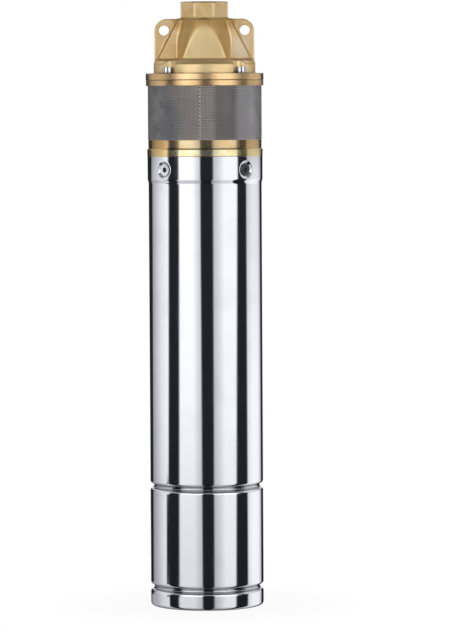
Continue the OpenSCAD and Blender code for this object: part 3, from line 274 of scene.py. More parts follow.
class Wire:
    """A shader socket that takes part in Python arithmetic; each step adds one Math node."""

    def __init__(self, sheet, socket):
        self.sheet = sheet
        self.socket = socket

    def math(self, operation, first, second):
        return self.sheet.node("ShaderNodeMath", {"operation": operation}, {0: first, 1: second})

    def __add__(self, other):
        return self.math("ADD", self, other)

    def __radd__(self, other):
        return self.math("ADD", other, self)

    def __sub__(self, other):
        return self.math("SUBTRACT", self, other)

    def __rsub__(self, other):
        return self.math("SUBTRACT", other, self)

    def __mul__(self, other):
        return self.math("MULTIPLY", self, other)

    def __rmul__(self, other):
        return self.math("MULTIPLY", other, self)

    def larger(self, other):
        return self.math("MAXIMUM", self, other)

    def sine(self):
        return self.sheet.node("ShaderNodeMath", {"operation": "SINE"}, {0: self})

    def ramp(self, low, high):
        """0 below low, 1 above high and a smooth step between."""
        settings = {"interpolation_type": "SMOOTHSTEP"}
        return self.sheet.node("ShaderNodeMapRange", settings, {0: self, 1: low, 2: high})

    def beyond(self, inner, outer, middle=0.0):
        """0 within one distance of the middle and 1 past a wider one, on both sides."""
        apart = self - middle
        return (apart * apart).ramp(inner * inner, outer * outer)

    def within(self, inner, outer, middle=0.0):
        """1 within one distance of the middle and 0 past a wider one, on both sides."""
        return 1.0 - self.beyond(inner, outer, middle)


class Sheet:
    """The node tree of one finish, or of the world."""

    # Samples of the nodes that feel for corners.
    rays = 6

    def __init__(self, tree):
        self.tree = tree
        tree.nodes.clear()

    def node(self, kind, settings, inputs, output=0):
        """Adds a node: its settings first, then the values or links of its sockets."""
        made = self.tree.nodes.new(kind)
        for name, value in settings.items():
            setattr(made, name, value)
        for key, value in inputs.items():
            if isinstance(value, Wire):
                self.tree.links.new(value.socket, made.inputs[key])
            else:
                made.inputs[key].default_value = value
        return Wire(self, made.outputs[output]) if made.outputs else None

    def place(self):
        """Coordinates of the piece, in metres."""
        return self.node("ShaderNodeTexCoord", {}, {}, "Object")

    def stretched(self, factors):
        """Coordinates multiplied axis by axis."""
        return self.node("ShaderNodeVectorMath", {"operation": "MULTIPLY"}, {0: self.place(), 1: factors})

    def turned(self, pitch):
        """Coordinates that change with the radius and the height only, so that marks run round the axis."""
        rounds, rise = self.radius() * (1 / pitch), self.height() * (1 / pitch)
        return self.node("ShaderNodeCombineXYZ", {}, {0: rounds, 2: rise})

    def noise(self, vector, scale, detail=2.0):
        inputs = {"Vector": vector, "Scale": scale, "Detail": detail, "Roughness": 0.55}
        return self.node("ShaderNodeTexNoise", {}, inputs, "Fac")

    def blend(self, factor, first, second):
        """A mix of two colours."""
        settings = {"data_type": "RGBA"}
        return self.node("ShaderNodeMix", settings, {0: factor, 6: first, 7: second}, 2)

    def axis(self, name):
        """One of the coordinates X, Y and Z."""
        return self.node("ShaderNodeSeparateXYZ", {}, {0: self.place()}, name)

    def height(self):
        return self.axis("Z")

    def radius(self):
        """Distance from the axis."""
        flat = self.stretched((1.0, 1.0, 0.0))
        return self.node("ShaderNodeVectorMath", {"operation": "LENGTH"}, {0: flat}, "Value")

    def front(self, start, end):
        """1 in front of the axis by more than the end, 0 by less than the start."""
        return (0.0 - self.axis("Y")).ramp(start, end)

    def upward(self):
        """How far the surface faces up, from -1 to 1."""
        normal = self.node("ShaderNodeNewGeometry", {}, {}, "Normal")
        return self.node("ShaderNodeSeparateXYZ", {}, {0: normal}, "Z")

    def crowded(self, distance):
        """0 in the open and 1 where all round is covered within a distance."""
        inputs = {"Distance": distance}
        return 1.0 - self.node("ShaderNodeAmbientOcclusion", {"samples": self.rays}, inputs, "AO")

    def bump(self, height, strength, distance, edge=0.0):
        """A relief; with an edge, the corners of the mesh are shaded as if rounded by that radius."""
        inputs = {"Height": height, "Strength": strength, "Distance": distance}
        if edge:
            inputs["Normal"] = self.node("ShaderNodeBevel", {"samples": self.rays}, {"Radius": edge})
        return self.node("ShaderNodeBump", {}, inputs)

    def seen(self):
        """1 for what the camera sees, also in mirrors and through glass."""
        kinds = ("Is Camera Ray", "Is Glossy Ray", "Is Transmission Ray")
        camera, glossy, through = [self.node("ShaderNodeLightPath", {}, {}, kind) for kind in kinds]
        return camera.larger(glossy).larger(through)


def finish_sheet(name):
    """A new material and its empty sheet."""
    material = bpy.data.materials.new(name)
    material.use_nodes = True
    return material, Sheet(material.node_tree)


def shade(sheet, **sockets):
    """Closes a finish: one Principled shader with the sockets given by name."""
    inputs = {name.replace("_", " ").title(): value for name, value in sockets.items()}
    shader = sheet.node("ShaderNodeBsdfPrincipled", {}, inputs)
    sheet.node("ShaderNodeOutputMaterial", {}, {"Surface": shader})


def rgba(values):
    return (*values, 1.0)


def shaded(tone, left):
    """A colour of which a share is left, one share for all channels or one for each."""
    return rgba(np.multiply(tone, left))


# Finishes

# Share of a colour that is left where shade is painted on brass, on slopes and under the neck, and where
# deep shade is painted on metal.
SHADE_TONE = (0.70, 0.62, 0.46)
DEEP_SHADE = 0.12
# Distances from the middle plane between which castings begin to be painted lighter, a painted highlight on
# the faces to the front and rear.
LIT_FACES = (21.1 * MM, 21.45 * MM)


class HeadMarks:
    """Marks on the head's casting: a painted patch of light, painted shade under the neck, neck edges
    painted lighter for wear and as a highlight, and a machined top with a painted dark line.
    """

    # Depths below the neck between which the painted shade under it grows, and between which the painted
    # shade of corners thins.
    neck_shade_depths = (13 * MM, 5 * MM)
    unshaded_depths = (33 * MM, 30 * MM)
    # Distances to each side of the axis between which the painted shade under the neck deepens, then fades,
    # and the painted shade of corners thins.
    deeper_sides = (15 * MM, 19 * MM)
    faded_sides = (24.5 * MM, 27 * MM)
    unshaded_sides = (31 * MM, 36 * MM)
    # Depths of the neck's lighter edges, painted for wear and as a highlight, below its corners, and of the
    # painted dark line of shade below its top.
    worn_depths = (0.6 * MM, 0.3 * MM)
    line_depths = (0.8 * MM, 0.4 * MM)
    step = 0.3 * MM
    machined_roughness = 0.16

    def __init__(self, sizes, pale):
        self.sizes = sizes
        self.pale = pale
        self.foot = head_levels(sizes)[2] + sizes.crisp_edge
        self.chamfer = HEAD_TOP - sizes.neck_chamfer
        self.corner = sizes.neck_width / 2 / math.cos(math.pi / 8)

    def above(self, sheet, height):
        return sheet.height().ramp(height, height + self.step)

    def under(self, sheet, top, depths):
        """0 at the first depth under a height, 1 at the second."""
        return sheet.height().ramp(*(top - depth for depth in depths))

    # Painted light: the front is painted lighter in a patch to the right of the axis.
    def painted_light_patch(self, sheet, tone):
        s = self.sizes
        beside = sheet.axis("X").within(0.0, s.pale_reach, s.pale_place)
        level = sheet.height().within(0.0, s.pale_rise, self.foot - s.pale_drop)
        return sheet.blend(beside * level * sheet.front(1 * MM, 3 * MM), tone, rgba(self.pale))

    # Painted shade under the neck, a painted shadow on the shoulder under its edges, and less painted shade
    # of corners low at the sides.
    def shade_under_neck(self, sheet, tone, corner_shade, dark):
        across = sheet.axis("X")
        below = self.under(sheet, self.foot, self.neck_shade_depths) * across.within(*self.faded_sides)
        below = below * (1.0 - self.above(sheet, self.foot))
        cover = 0.6 + 0.3 * across.beyond(*self.deeper_sides)
        tone = sheet.blend(below * cover, tone, shaded(dark, SHADE_TONE))
        ledge = below * sheet.upward().ramp(0.45, 0.60)
        unshaded = across.beyond(*self.unshaded_sides) * self.under(sheet, self.foot, self.unshaded_depths)
        return tone, (corner_shade * (1.0 - 0.7 * unshaded)).larger(ledge * 0.5)

    def neck(self, sheet, tone, rough, roughness, dark, worn_and_lit):
        top = self.above(sheet, self.chamfer)
        # The neck's corner edges are painted lighter, partly as wear and partly as a painted highlight.
        edges = sheet.radius().ramp(*(self.corner - depth for depth in self.worn_depths))
        edges = edges * self.above(sheet, self.foot) * (1.0 - top)
        tone = sheet.blend(edges * 0.8, tone, rgba(worn_and_lit))
        # Painted shade: a dark line on the chamfer round the neck's top, and less on its flat top.
        line = self.under(sheet, HEAD_TOP, self.line_depths) * 0.8
        upward = sheet.upward()
        bevel = upward.ramp(0.25, 0.5).larger(line) * (1.0 - 0.5 * upward.ramp(0.80, 0.95))
        tone = sheet.blend(top * bevel, tone, shaded(dark, DEEP_SHADE))
        return tone, rough - top * (roughness - self.machined_roughness)


def cast_metal(name, light, dark, worn_and_lit, roughness, marks=None):
    """Sand-cast metal: fine skin, soft lumps and tarnished patches, with painted shade in corners and on
    steep slopes, a painted highlight furthest to the front and rear, and edges lighter with wear; the head
    also has its own marks."""
    material, sheet = finish_sheet(name)
    place = sheet.place()
    skin = sheet.noise(place, scale=1500.0, detail=3.0)
    lumps = sheet.noise(place, scale=240.0, detail=2.0)
    patches = sheet.noise(place, scale=55.0, detail=4.0)
    bend = sheet.node("ShaderNodeNewGeometry", {}, {}, "Pointiness")
    upward = sheet.upward()
    slope = upward.ramp(0.06, 0.20) * (1.0 - upward.ramp(0.40, 0.65))
    tone = sheet.blend(patches.ramp(0.38, 0.68), rgba(light), rgba(dark))
    if marks:
        tone = marks.painted_light_patch(sheet, tone)
    # Painted highlight: the faces furthest to the front and rear are painted lighter.
    tone = sheet.blend(sheet.axis("Y").beyond(*LIT_FACES) * 0.5, tone, rgba(worn_and_lit))
    # Painted shade: surfaces that slope up at a middle angle are painted darker.
    tone = sheet.blend(slope * 0.7, tone, shaded(dark, SHADE_TONE))
    tone = sheet.blend(bend.ramp(0.54, 0.68) * 0.10, tone, rgba(worn_and_lit))
    # Painted shade in corners, pockets and crevices, where little light reaches.
    corner_shade = sheet.crowded(4 * MM).ramp(0.30, 0.90) * 0.65
    rough = roughness + 0.10 * (skin - 0.5) + 0.12 * (patches - 0.5)
    if marks:
        tone, corner_shade = marks.shade_under_neck(sheet, tone, corner_shade, dark)
    tone = sheet.blend(corner_shade, tone, shaded(dark, 0.36))
    if marks:
        tone, rough = marks.neck(sheet, tone, rough, roughness, dark, worn_and_lit)
    relief = sheet.bump(skin * 0.35 + lumps * 0.65, strength=0.25, distance=0.12 * MM)
    shade(sheet, base_color=tone, metallic=0.8, roughness=rough, normal=relief)
    return material


def turned_metal(name, light, dark, roughness, pitch, strength, edge=0.0, above=None, joints=(), shaded_sides=()):
    """Metal turned on a lathe: fine rings round the axis, a few tarnished spots, and painted shade in
    corners. Above a height it can have other colours, given as (height, light, dark, added roughness).
    Lines of painted shade where parts meet are (height, half width, share), and sides painted darker or
    tinted as shade below that height are (side, start, end, share of dark left)."""
    material, sheet = finish_sheet(name)
    place = sheet.place()
    rings = sheet.noise(sheet.turned(pitch), scale=1.0, detail=2.0)
    patches = sheet.noise(place, scale=70.0, detail=4.0)
    marks = sheet.noise(place, scale=420.0, detail=3.0)
    dull = patches.ramp(0.40, 0.72)
    tone = sheet.blend(dull, rgba(light), rgba(dark))
    rough = roughness + 0.08 * (rings - 0.5) + 0.10 * (patches - 0.5)
    if above:
        height, light_above, dark_above, rougher = above
        upper = sheet.height().ramp(height, height + 1 * MM)
        tone = sheet.blend(upper, tone, sheet.blend(dull, rgba(light_above), rgba(dark_above)))
        rough = rough + upper * rougher
    tone = sheet.blend(marks.ramp(0.66, 0.78) * 0.4, tone, shaded(dark, 0.7))
    # Painted shade in corners and where parts meet.
    tone = sheet.blend(sheet.crowded(2.4 * MM).ramp(0.08, 0.45) * 0.85, tone, shaded(dark, 0.16))
    # Painted shade in lines where parts meet.
    for height, half, cover in joints:
        line = sheet.height().within(0.63 * half, 1.41 * half, height)
        tone = sheet.blend(line * cover, tone, shaded(dark, 0.14))
    # Painted shade or tint on one side.
    for side, start, end, left in shaded_sides:
        grown = (sheet.axis("X") * side).ramp(start, end)
        if above:
            grown = grown * (1.0 - upper)
        tone = sheet.blend(grown, tone, shaded(dark, left))
    relief = sheet.bump(rings, strength, distance=0.05 * MM, edge=edge)
    shade(sheet, base_color=tone, metallic=0.88, roughness=rough, normal=relief)
    return material


def polished_metal(name, light, dark, roughness, recess_shade):
    """Mirror-polished metal: faint smudges and long soft waves in the sheet, and painted shade in what is
    rolled in, given as (radius, depth, least height, share)."""
    material, sheet = finish_sheet(name)
    place = sheet.place()
    smudges = sheet.noise(place, scale=38.0, detail=4.0)
    scratches = sheet.noise(sheet.turned(0.35 * MM), scale=1.0, detail=2.0)
    waves = sheet.noise(sheet.stretched((1.0, 1.0, 0.25)), scale=26.0, detail=1.0)
    tone = sheet.blend(smudges.ramp(0.45, 0.75), rgba(light), rgba(dark))
    for radius, depth, height, cover in recess_shade:
        deep = (radius - sheet.radius()).ramp(0.0, depth) * sheet.height().ramp(height, height + depth)
        tone = sheet.blend(deep * cover, tone, shaded(dark, DEEP_SHADE))
    rough = roughness + 0.03 * smudges.ramp(0.45, 0.80) + 0.03 * scratches
    relief = sheet.bump(waves + scratches * 0.004, strength=0.10, distance=0.6 * MM)
    shade(sheet, base_color=tone, metallic=1.0, roughness=rough, normal=relief)
    return material


def sheet_metal(name, light, dark, roughness, shaded_within=None, tints=(), stripes=(), welds=None):
    """Dull rolled sheet: cloudy patches and a fine rolled grain, painted dark as shade within a radius,
    tinted in wide patches, and tinted in upright stripes on the front, given as (x, half width, colour,
    share), which hold a heat tint as well as painted shade and painted highlight, and with a row of weld
    spots given as (x, half width, pitch)."""
    material, sheet = finish_sheet(name)
    clouds = sheet.noise(sheet.place(), scale=90.0, detail=4.0)
    grain = sheet.noise(sheet.stretched((900.0, 900.0, 5200.0)), scale=1.0, detail=2.0)
    tone = sheet.blend(clouds.ramp(0.35, 0.70), rgba(light), rgba(dark))
    for number, tint in enumerate(tints):
        wide = sheet.noise(sheet.stretched((1.0, 1.0, 0.6)), scale=34.0 + 9.0 * number, detail=2.0)
        tone = sheet.blend(wide.ramp(0.46, 0.66) * 0.6, tone, rgba(tint))
    # Upright stripes: a heat tint, and stripes of painted shade and painted highlight.
    for middle, half, tint, cover in stripes:
        near = sheet.axis("X").within(0.0, half, middle)
        tone = sheet.blend(near * near * sheet.front(0.0, 20 * MM) * cover, tone, rgba(tint))
    if welds:
        middle, half, pitch = welds
        beside = sheet.axis("X").within(0.55 * half, 1.18 * half, middle)
        along = (sheet.height() * (2 * math.pi / pitch)).sine().ramp(0.0, 0.6)
        tone = sheet.blend(beside * along * 0.9, tone, shaded(dark, 0.08))
    # Painted shade on the inner face of the sheet, within that radius.
    if shaded_within:
        deep = (shaded_within - sheet.radius()).ramp(0.0, 0.2 * MM)
        tone = sheet.blend(deep, tone, shaded(dark, DEEP_SHADE))
    rough = roughness + 0.12 * (grain - 0.5) + 0.10 * (clouds - 0.5)
    relief = sheet.bump(grain, strength=0.2, distance=0.03 * MM)
    shade(sheet, base_color=tone, metallic=0.85, roughness=rough, normal=relief)
    return material


def stacked_metal(name, light, sheet_pitch):
    """Edges of stacked core sheets: a line for each sheet, with scale in patches."""
    material, sheet = finish_sheet(name)
    lines = (sheet.height() * (2 * math.pi / sheet_pitch)).sine().ramp(-0.2, 0.9)
    scale = sheet.noise(sheet.place(), scale=120.0, detail=4.0)
    tone = sheet.blend(lines * 0.6 + scale * 0.3, shaded(light, 0.45), rgba(light))
    relief = sheet.bump(lines, strength=0.5, distance=0.1 * MM)
    shade(sheet, base_color=tone, metallic=0.8, roughness=0.42 + 0.2 * scale, normal=relief)
    return material


def wound_wire(name, light, wire):
    """Enamelled wire laid round the axis, under varnish."""
    material, sheet = finish_sheet(name)
    strands = sheet.noise(sheet.turned(wire), scale=1.0, detail=1.0)
    drift = sheet.noise(sheet.place(), scale=160.0, detail=3.0)
    tone = sheet.blend(strands.ramp(0.3, 0.7), shaded(light, 0.4), rgba(light))
    relief = sheet.bump(strands + 0.4 * drift, strength=0.8, distance=0.4 * MM)
    rough = 0.3 + 0.2 * drift
    shade(sheet, base_color=tone, metallic=0.55, roughness=rough, normal=relief, coat_weight=0.4)
    return material


def moulded(name, light, roughness, grain_scale):
    """Moulded rubber, plastic, ceramic or carbon: a fine skin and faint clouds."""
    material, sheet = finish_sheet(name)
    place = sheet.place()
    grain = sheet.noise(place, scale=grain_scale, detail=3.0)
    clouds = sheet.noise(place, scale=130.0, detail=3.0)
    tone = sheet.blend(clouds.ramp(0.35, 0.75), rgba(light), shaded(light, 0.78))
    relief = sheet.bump(grain, strength=0.25, distance=0.06 * MM)
    shade(sheet, base_color=tone, roughness=roughness + 0.15 * (grain - 0.5), normal=relief)
    return material


# Mesh makers


def soft_min(first, second, reach):
    """The smaller of two distances, with a round blend of about that reach where they meet."""
    near = np.clip(reach - np.abs(first - second), 0.0, None) / reach
    return np.minimum(first, second) - near * near * reach / 4


def soft_max(first, second, reach):
    """The larger of two distances, blended in the same way."""
    return -soft_min(-first, -second, reach)


def net_of(distance, low, high, step):
    """Quads over the surface where a distance is zero, with one point in each grid cell that it crosses."""
    axes = [np.arange(a, b, step) for a, b in zip(low, high)]
    inside = distance(*np.meshgrid(*axes, indexing="ij")) < 0
    halves = (slice(None, -1), slice(1, None))
    corners = [inside[corner] for corner in product(halves, repeat=3)]
    count = np.sum(corners, axis=0)
    crossed = (count > 0) & (count < 8)
    number = np.full(crossed.shape, -1)
    number[crossed] = np.arange(crossed.sum())
    points = np.array(low) + (np.argwhere(crossed) + 0.5) * step
    faces = []
    for axis in range(3):
        one, two = (axis + 1) % 3, (axis + 2) % 3
        inner = [slice(1, -1)] * 3
        inner[axis] = slice(0, -1)
        before = inside[tuple(inner)]
        inner[axis] = slice(1, None)
        after = inside[tuple(inner)]
        spots = np.argwhere(before != after)
        leaving = before[tuple(spots.T)]
        spots[:, one] += 1
        spots[:, two] += 1
        ring = []
        for step_one, step_two in ((-1, -1), (0, -1), (0, 0), (-1, 0)):
            cell = spots.copy()
            cell[:, one] += step_one
            cell[:, two] += step_two
            ring.append(number[tuple(cell.T)])
        quads = np.stack(ring, axis=1)
        quads[~leaving] = quads[~leaving][:, ::-1]
        faces.append(quads)
    return settle(points, distance, step), np.concatenate(faces)


def settle(points, distance, step):
    """Moves points onto the surface where the distance is zero."""
    nudge = step * 0.05
    for _ in range(6):
        value = distance(*points.T)
        slope = np.empty_like(points)
        for axis in range(3):
            shift = np.zeros(3)
            shift[axis] = nudge
            slope[:, axis] = (distance(*(points + shift).T) - distance(*(points - shift).T)) / (2 * nudge)
        steep = np.maximum((slope ** 2).sum(axis=1), 0.1)
        move = -(value / steep)[:, None] * slope
        points = points + np.clip(move, -step / 2, step / 2)
    return points


def around(angles, radius, height):
    """Points at an angle from the front, to the right, a radius and a height."""
    return np.stack(np.broadcast_arrays(radius * np.sin(angles), -radius * np.cos(angles), height), axis=-1)


def grid_faces(shape, closed=True):
    """Quads over a grid of points, which closes on itself along both sides or stays open."""
    index = np.arange(shape[0] * shape[1]).reshape(shape)
    after = np.roll(index, -1, 0)
    quads = np.stack([index, after, np.roll(after, -1, 1), np.roll(index, -1, 1)], -1)
    if not closed:
        quads = quads[:-1, :-1]
    return quads.reshape(-1, 4)


def band_faces(first, second):
    """Quads between two closed loops of point numbers, or between two rows of such loops."""
    ahead = [np.roll(loop, -1, -1) for loop in (first, second)]
    return np.stack([first, *ahead, second], -1).reshape(-1, 4)


def lathe(loop, angles, inward=None):
    """A closed loop of (radius, height) turned through all angles; inward(angle, height) dents it."""
    loop = np.array(loop)
    angles = np.array(angles)[:, None]
    radius = np.repeat(loop[None, :, 0], len(angles), axis=0)
    height = np.repeat(loop[None, :, 1], len(angles), axis=0)
    if inward:
        radius = radius - inward(angles, height)
    points = around(angles, radius, height)
    return points.reshape(-1, 3), grid_faces(points.shape[:2])


def arc(centre_r, centre_z, radius, start, end, steps):
    """Points on an arc in the (radius, height) plane, angles in degrees."""
    angles = np.radians(np.linspace(start, end, steps + 1))
    return [(centre_r + radius * math.cos(a), centre_z + radius * math.sin(a)) for a in angles]


def new_piece(name, points, faces, material, slot, crease=35.0):
    """A mesh piece that rides on the housing, smooth but for edges sharper than the crease."""
    mesh = bpy.data.meshes.new(name)
    mesh.from_pydata(points.tolist(), [], faces.tolist())
    shell = bmesh.new()
    shell.from_mesh(mesh)
    bmesh.ops.recalc_face_normals(shell, faces=shell.faces)
    shell.to_mesh(mesh)
    shell.free()
    mesh.shade_smooth()
    mesh.set_sharp_from_angle(angle=math.radians(crease))
    mesh.materials.append(material)
    piece = bpy.data.objects.new(name, mesh)
    bpy.context.scene.collection.objects.link(piece)
    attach(piece, HOUSING)
    return piece


def drill(piece, place, radius, depth, sides=48):
    """Cuts an upright round hole through a piece."""
    mesh = bpy.data.meshes.new("drill")
    shell = bmesh.new()
    bmesh.ops.create_cone(
        shell, cap_ends=True, segments=sides, radius1=radius, radius2=radius, depth=depth,
        matrix=Matrix.Translation(place),
    )
    shell.to_mesh(mesh)
    shell.free()
    tool = bpy.data.objects.new("drill", mesh)
    bpy.context.scene.collection.objects.link(tool)
    cut = piece.modifiers.new("hole", "BOOLEAN")
    cut.object = tool
    cut.solver = "EXACT"
    shape = piece.evaluated_get(bpy.context.evaluated_depsgraph_get())
    drilled = bpy.data.meshes.new_from_object(shape)
    piece.modifiers.clear()
    piece.data = drilled
    bpy.data.objects.remove(tool)


def dress(material, *names):
    """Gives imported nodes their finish."""
    for name in names:
        node = NODES[name]
        node.data.materials.clear()
        node.data.materials.append(material)


# Discharge head

# Ends of the rim painted nearly black as shade: side, where they begin and end from the axis, and the share
# of the colour left.
RIM_SHADED_ENDS = [(side, 45.6 * MM, 47.8 * MM, 0.08) for side in (-1, 1)]


def head_levels(s):
    """Heights of the base's foot, the base's top and the neck's foot."""
    seat = HEAD_FOOT + s.rim_height
    base_top = seat + s.base_height
    return seat, base_top, base_top + s.body_height


def casting_distance(s):
    """Signed distance to the casting of the head, as a function of x, y and z."""
    seat, base_top, neck_foot = head_levels(s)
    sunk = 1.0 * MM
    cone_lean = (s.cone_foot - s.cone_top) / (s.body_height + sunk - s.shoulder)
    gusset_head = neck_foot - s.gusset_drop
    gusset_lean = (s.gusset_foot - s.gusset_top) / (gusset_head - base_top + sunk)
    neck_corner = s.neck_width / 2 / math.cos(math.pi / 8) - s.neck_chamfer
    pocket = s.pocket_circle / math.sqrt(2)
    cavity_top = HEAD_TOP - bpy.context.scene.pump_thread.depth
    ear_half = s.ear_width / 2 - s.ear_corner
    ear_top = neck_foot - s.ear_drop - s.ear_corner

    def distance(x, y, z):
        side, depth, radius = np.abs(x), np.abs(y), np.hypot(x, y)
        cone = (radius - s.cone_foot + (z - base_top + sunk) * cone_lean) / math.hypot(1, cone_lean)
        shoulder = (radius + z - s.cone_top + s.shoulder - neck_foot) / math.sqrt(2)
        flats = np.maximum(side, depth) - s.body_width / 2
        body = soft_max(soft_max(cone, shoulder, s.crisp_edge), flats, s.edge)
        slope = (side - s.gusset_foot + (z - base_top + sunk) * gusset_lean) / math.hypot(1, gusset_lean)
        gusset = soft_max(soft_max(slope, z - gusset_head, s.edge), depth - s.gusset_width / 2, s.edge)
        gusset = np.maximum(gusset, base_top - sunk - z)
        across, up = side - ear_half, z - ear_top
        outline = np.hypot(np.maximum(across, 0), np.maximum(up, 0)) - s.ear_corner
        outline = outline + np.minimum(np.maximum(across, up), 0)
        ear = soft_max(outline, depth - s.ear_thickness / 2, s.edge)
        octagon = np.maximum(np.maximum(side, depth), (side + depth) / math.sqrt(2)) - s.neck_width / 2
        chamfer = (radius + z - neck_corner - HEAD_TOP) / math.sqrt(2)
        neck = soft_max(soft_max(octagon, chamfer, s.crisp_edge), z - HEAD_TOP, s.crisp_edge)
        neck = soft_max(neck, neck_foot - s.crisp_edge - z, s.crisp_edge)
        rim = (radius + z - s.base_radius - base_top + s.base_chamfer) / math.sqrt(2)
        base = soft_max(soft_max(radius - s.base_radius, z - base_top, s.edge), rim, s.edge)
        solid = soft_min(soft_min(body, gusset, s.fillet), ear, s.fillet)
        solid = soft_min(soft_min(solid, base, s.fillet), neck, s.crisp_edge)
        pockets = np.hypot(side - pocket, depth - pocket) - s.pocket_radius
        notch = np.hypot(x, y - s.notch_place) - s.notch_radius
        eyes = np.hypot(side - s.eye_span / 2, z - neck_foot + s.eye_drop) - s.eye_radius
        solid = soft_max(solid, -np.minimum(pockets, notch), s.edge)
        solid = soft_max(solid, -eyes, s.crisp_edge)
        bore = np.minimum(radius - s.cavity_radius, np.maximum(radius - s.liner_radius, cavity_top - z))
        return np.maximum(np.maximum(solid, -bore), seat - sunk / 2 - z)

    return distance


class PUMP_OT_head_casting(Operator):
    """Cast body of the head: neck, cone, gussets, ear plate and base with its pockets"""

    bl_idname = "pump.head_casting"
    bl_label = "Head casting"

    def execute(self, context):
        s = context.scene.pump_head
        tones = context.scene.pump_colours
        reach = s.base_radius + 2 * s.grid
        low = (-reach, -reach, head_levels(s)[0] - 3 * s.grid)
        high = (reach + s.grid, reach + s.grid, HEAD_TOP + 3 * s.grid)
        points, faces = net_of(casting_distance(s), low, high, s.grid)
        marks = HeadMarks(s, tones.cast_lit_patch)
        brass = cast_metal(
            "cast_brass", tones.cast_light, tones.cast_dark, tones.cast_worn_and_lit, roughness=0.47, marks=marks
        )
        casting = new_piece("head_casting", points, faces, brass, "cast_brass", crease=60.0)
        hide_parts("discharge_head")
        return {"FINISHED"}


class PUMP_OT_head_rim(Operator):
    """Turned rim at the foot of the head, with the hole for the cable"""

    bl_idname = "pump.head_rim"
    bl_label = "Head rim"

    def execute(self, context):
        s = context.scene.pump_head
        tones = context.scene.pump_colours
        top = HEAD_FOOT + s.rim_height
        edge = HEAD_RADIUS - s.rim_edge
        roof = HEAD_FOOT + s.chamber_height
        hold = s.rim_edge / 2
        loop = [(s.cavity_radius, roof), (s.chamber_radius, roof), (s.chamber_radius, HEAD_FOOT)]
        loop += [(edge - hold, HEAD_FOOT)]
        loop += arc(edge, HEAD_FOOT + s.rim_edge, s.rim_edge, -90, 0, 4)
        loop += [(HEAD_RADIUS, HEAD_FOOT + s.rim_edge + hold), (HEAD_RADIUS, top - s.rim_edge - hold)]
        loop += arc(edge, top - s.rim_edge, s.rim_edge, 0, 90, 4)
        loop += [(edge - hold, top), (s.cavity_radius, top)]
        points, faces = lathe(loop, np.linspace(0, 2 * math.pi, s.rim_columns, endpoint=False))
        # Painted shadow in a line along the rim's top edge, under the base.
        joints = [(top, 0.45 * MM, 0.7)]
        brass = turned_metal(
            "rim_brass", tones.rim_light, tones.rim_dark, roughness=0.32, pitch=0.16 * MM, strength=0.015,
            joints=joints, shaded_sides=RIM_SHADED_ENDS,
        )
        rim = new_piece("head_rim", points, faces, brass, "turned_brass")
        drill(rim, (0, s.notch_place, HEAD_FOOT), s.hole_radius, 4 * s.rim_height)
        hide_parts("discharge_head")
        return {"FINISHED"}


class PUMP_OT_outlet_thread(Operator):
    """Pipe thread in the outlet of the head"""

    bl_idname = "pump.outlet_thread"
    bl_label = "Outlet thread"

    def execute(self, context):
        s = context.scene.pump_thread
        head = context.scene.pump_head
        angles = np.linspace(0, 2 * math.pi, s.columns, endpoint=False)[:, None]
        height = np.linspace(HEAD_TOP - s.depth, HEAD_TOP - head.crisp_edge / 2, s.rows)[None, :]
        phase = np.mod(height / s.pitch - angles / (2 * math.pi), 1.0)
        flank = np.clip((np.abs(phase - 0.5) * 2 - s.flat) / (1 - 2 * s.flat), 0, 1)
        run_in = np.clip((height - HEAD_TOP + s.lead_in) / s.lead_in, 0, 1)
        radius = s.crest + (s.root - s.crest) * flank
        radius = np.maximum(radius, s.crest + (head.liner_radius - s.crest) * run_in)
        rows = np.repeat(height, s.columns, axis=0)
        inner = around(angles, radius, rows)
        wall = around(angles, head.liner_radius + 0.1 * MM, rows)
        sleeve = np.concatenate([inner, wall[:, ::-1]], axis=1)
        points, faces = sleeve.reshape(-1, 3), grid_faces(sleeve.shape[:2])
        tones = context.scene.pump_colours
        brass = turned_metal(
            "thread_brass", tones.cast_light, tones.cast_dark, roughness=0.28, pitch=0.2 * MM, strength=0.1
        )
        thread = new_piece("outlet_thread", points, faces, brass, "turned_brass", crease=40.0)
        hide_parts("discharge_head")
        return {"FINISHED"}


# Strainer

# Upright stripes of painted shade and painted highlight on the front of the sheet, standing in for
# reflections: place to the right, half width, colour and share.
SHEET_STRIPES = [
    (-15 * MM, 13 * MM, "sheet_shade", 0.5),
    (17 * MM, 17 * MM, "sheet_shade", 0.95),
    (34 * MM, 12 * MM, "sheet_highlight", 0.55),
    (3 * MM, 9 * MM, "sheet_highlight", 0.25),
]
# Cross-section of the seam: places over half its width, and the share of its height there.
SEAM_PLACES = (-1.0, -0.92, -0.7, -0.35, 0.0, 0.35, 0.7, 0.92, 1.0)
SEAM_CROWN = (0.0, 0.75, 0.95, 1.0, 1.0, 1.0, 0.95, 0.75, 0.0)


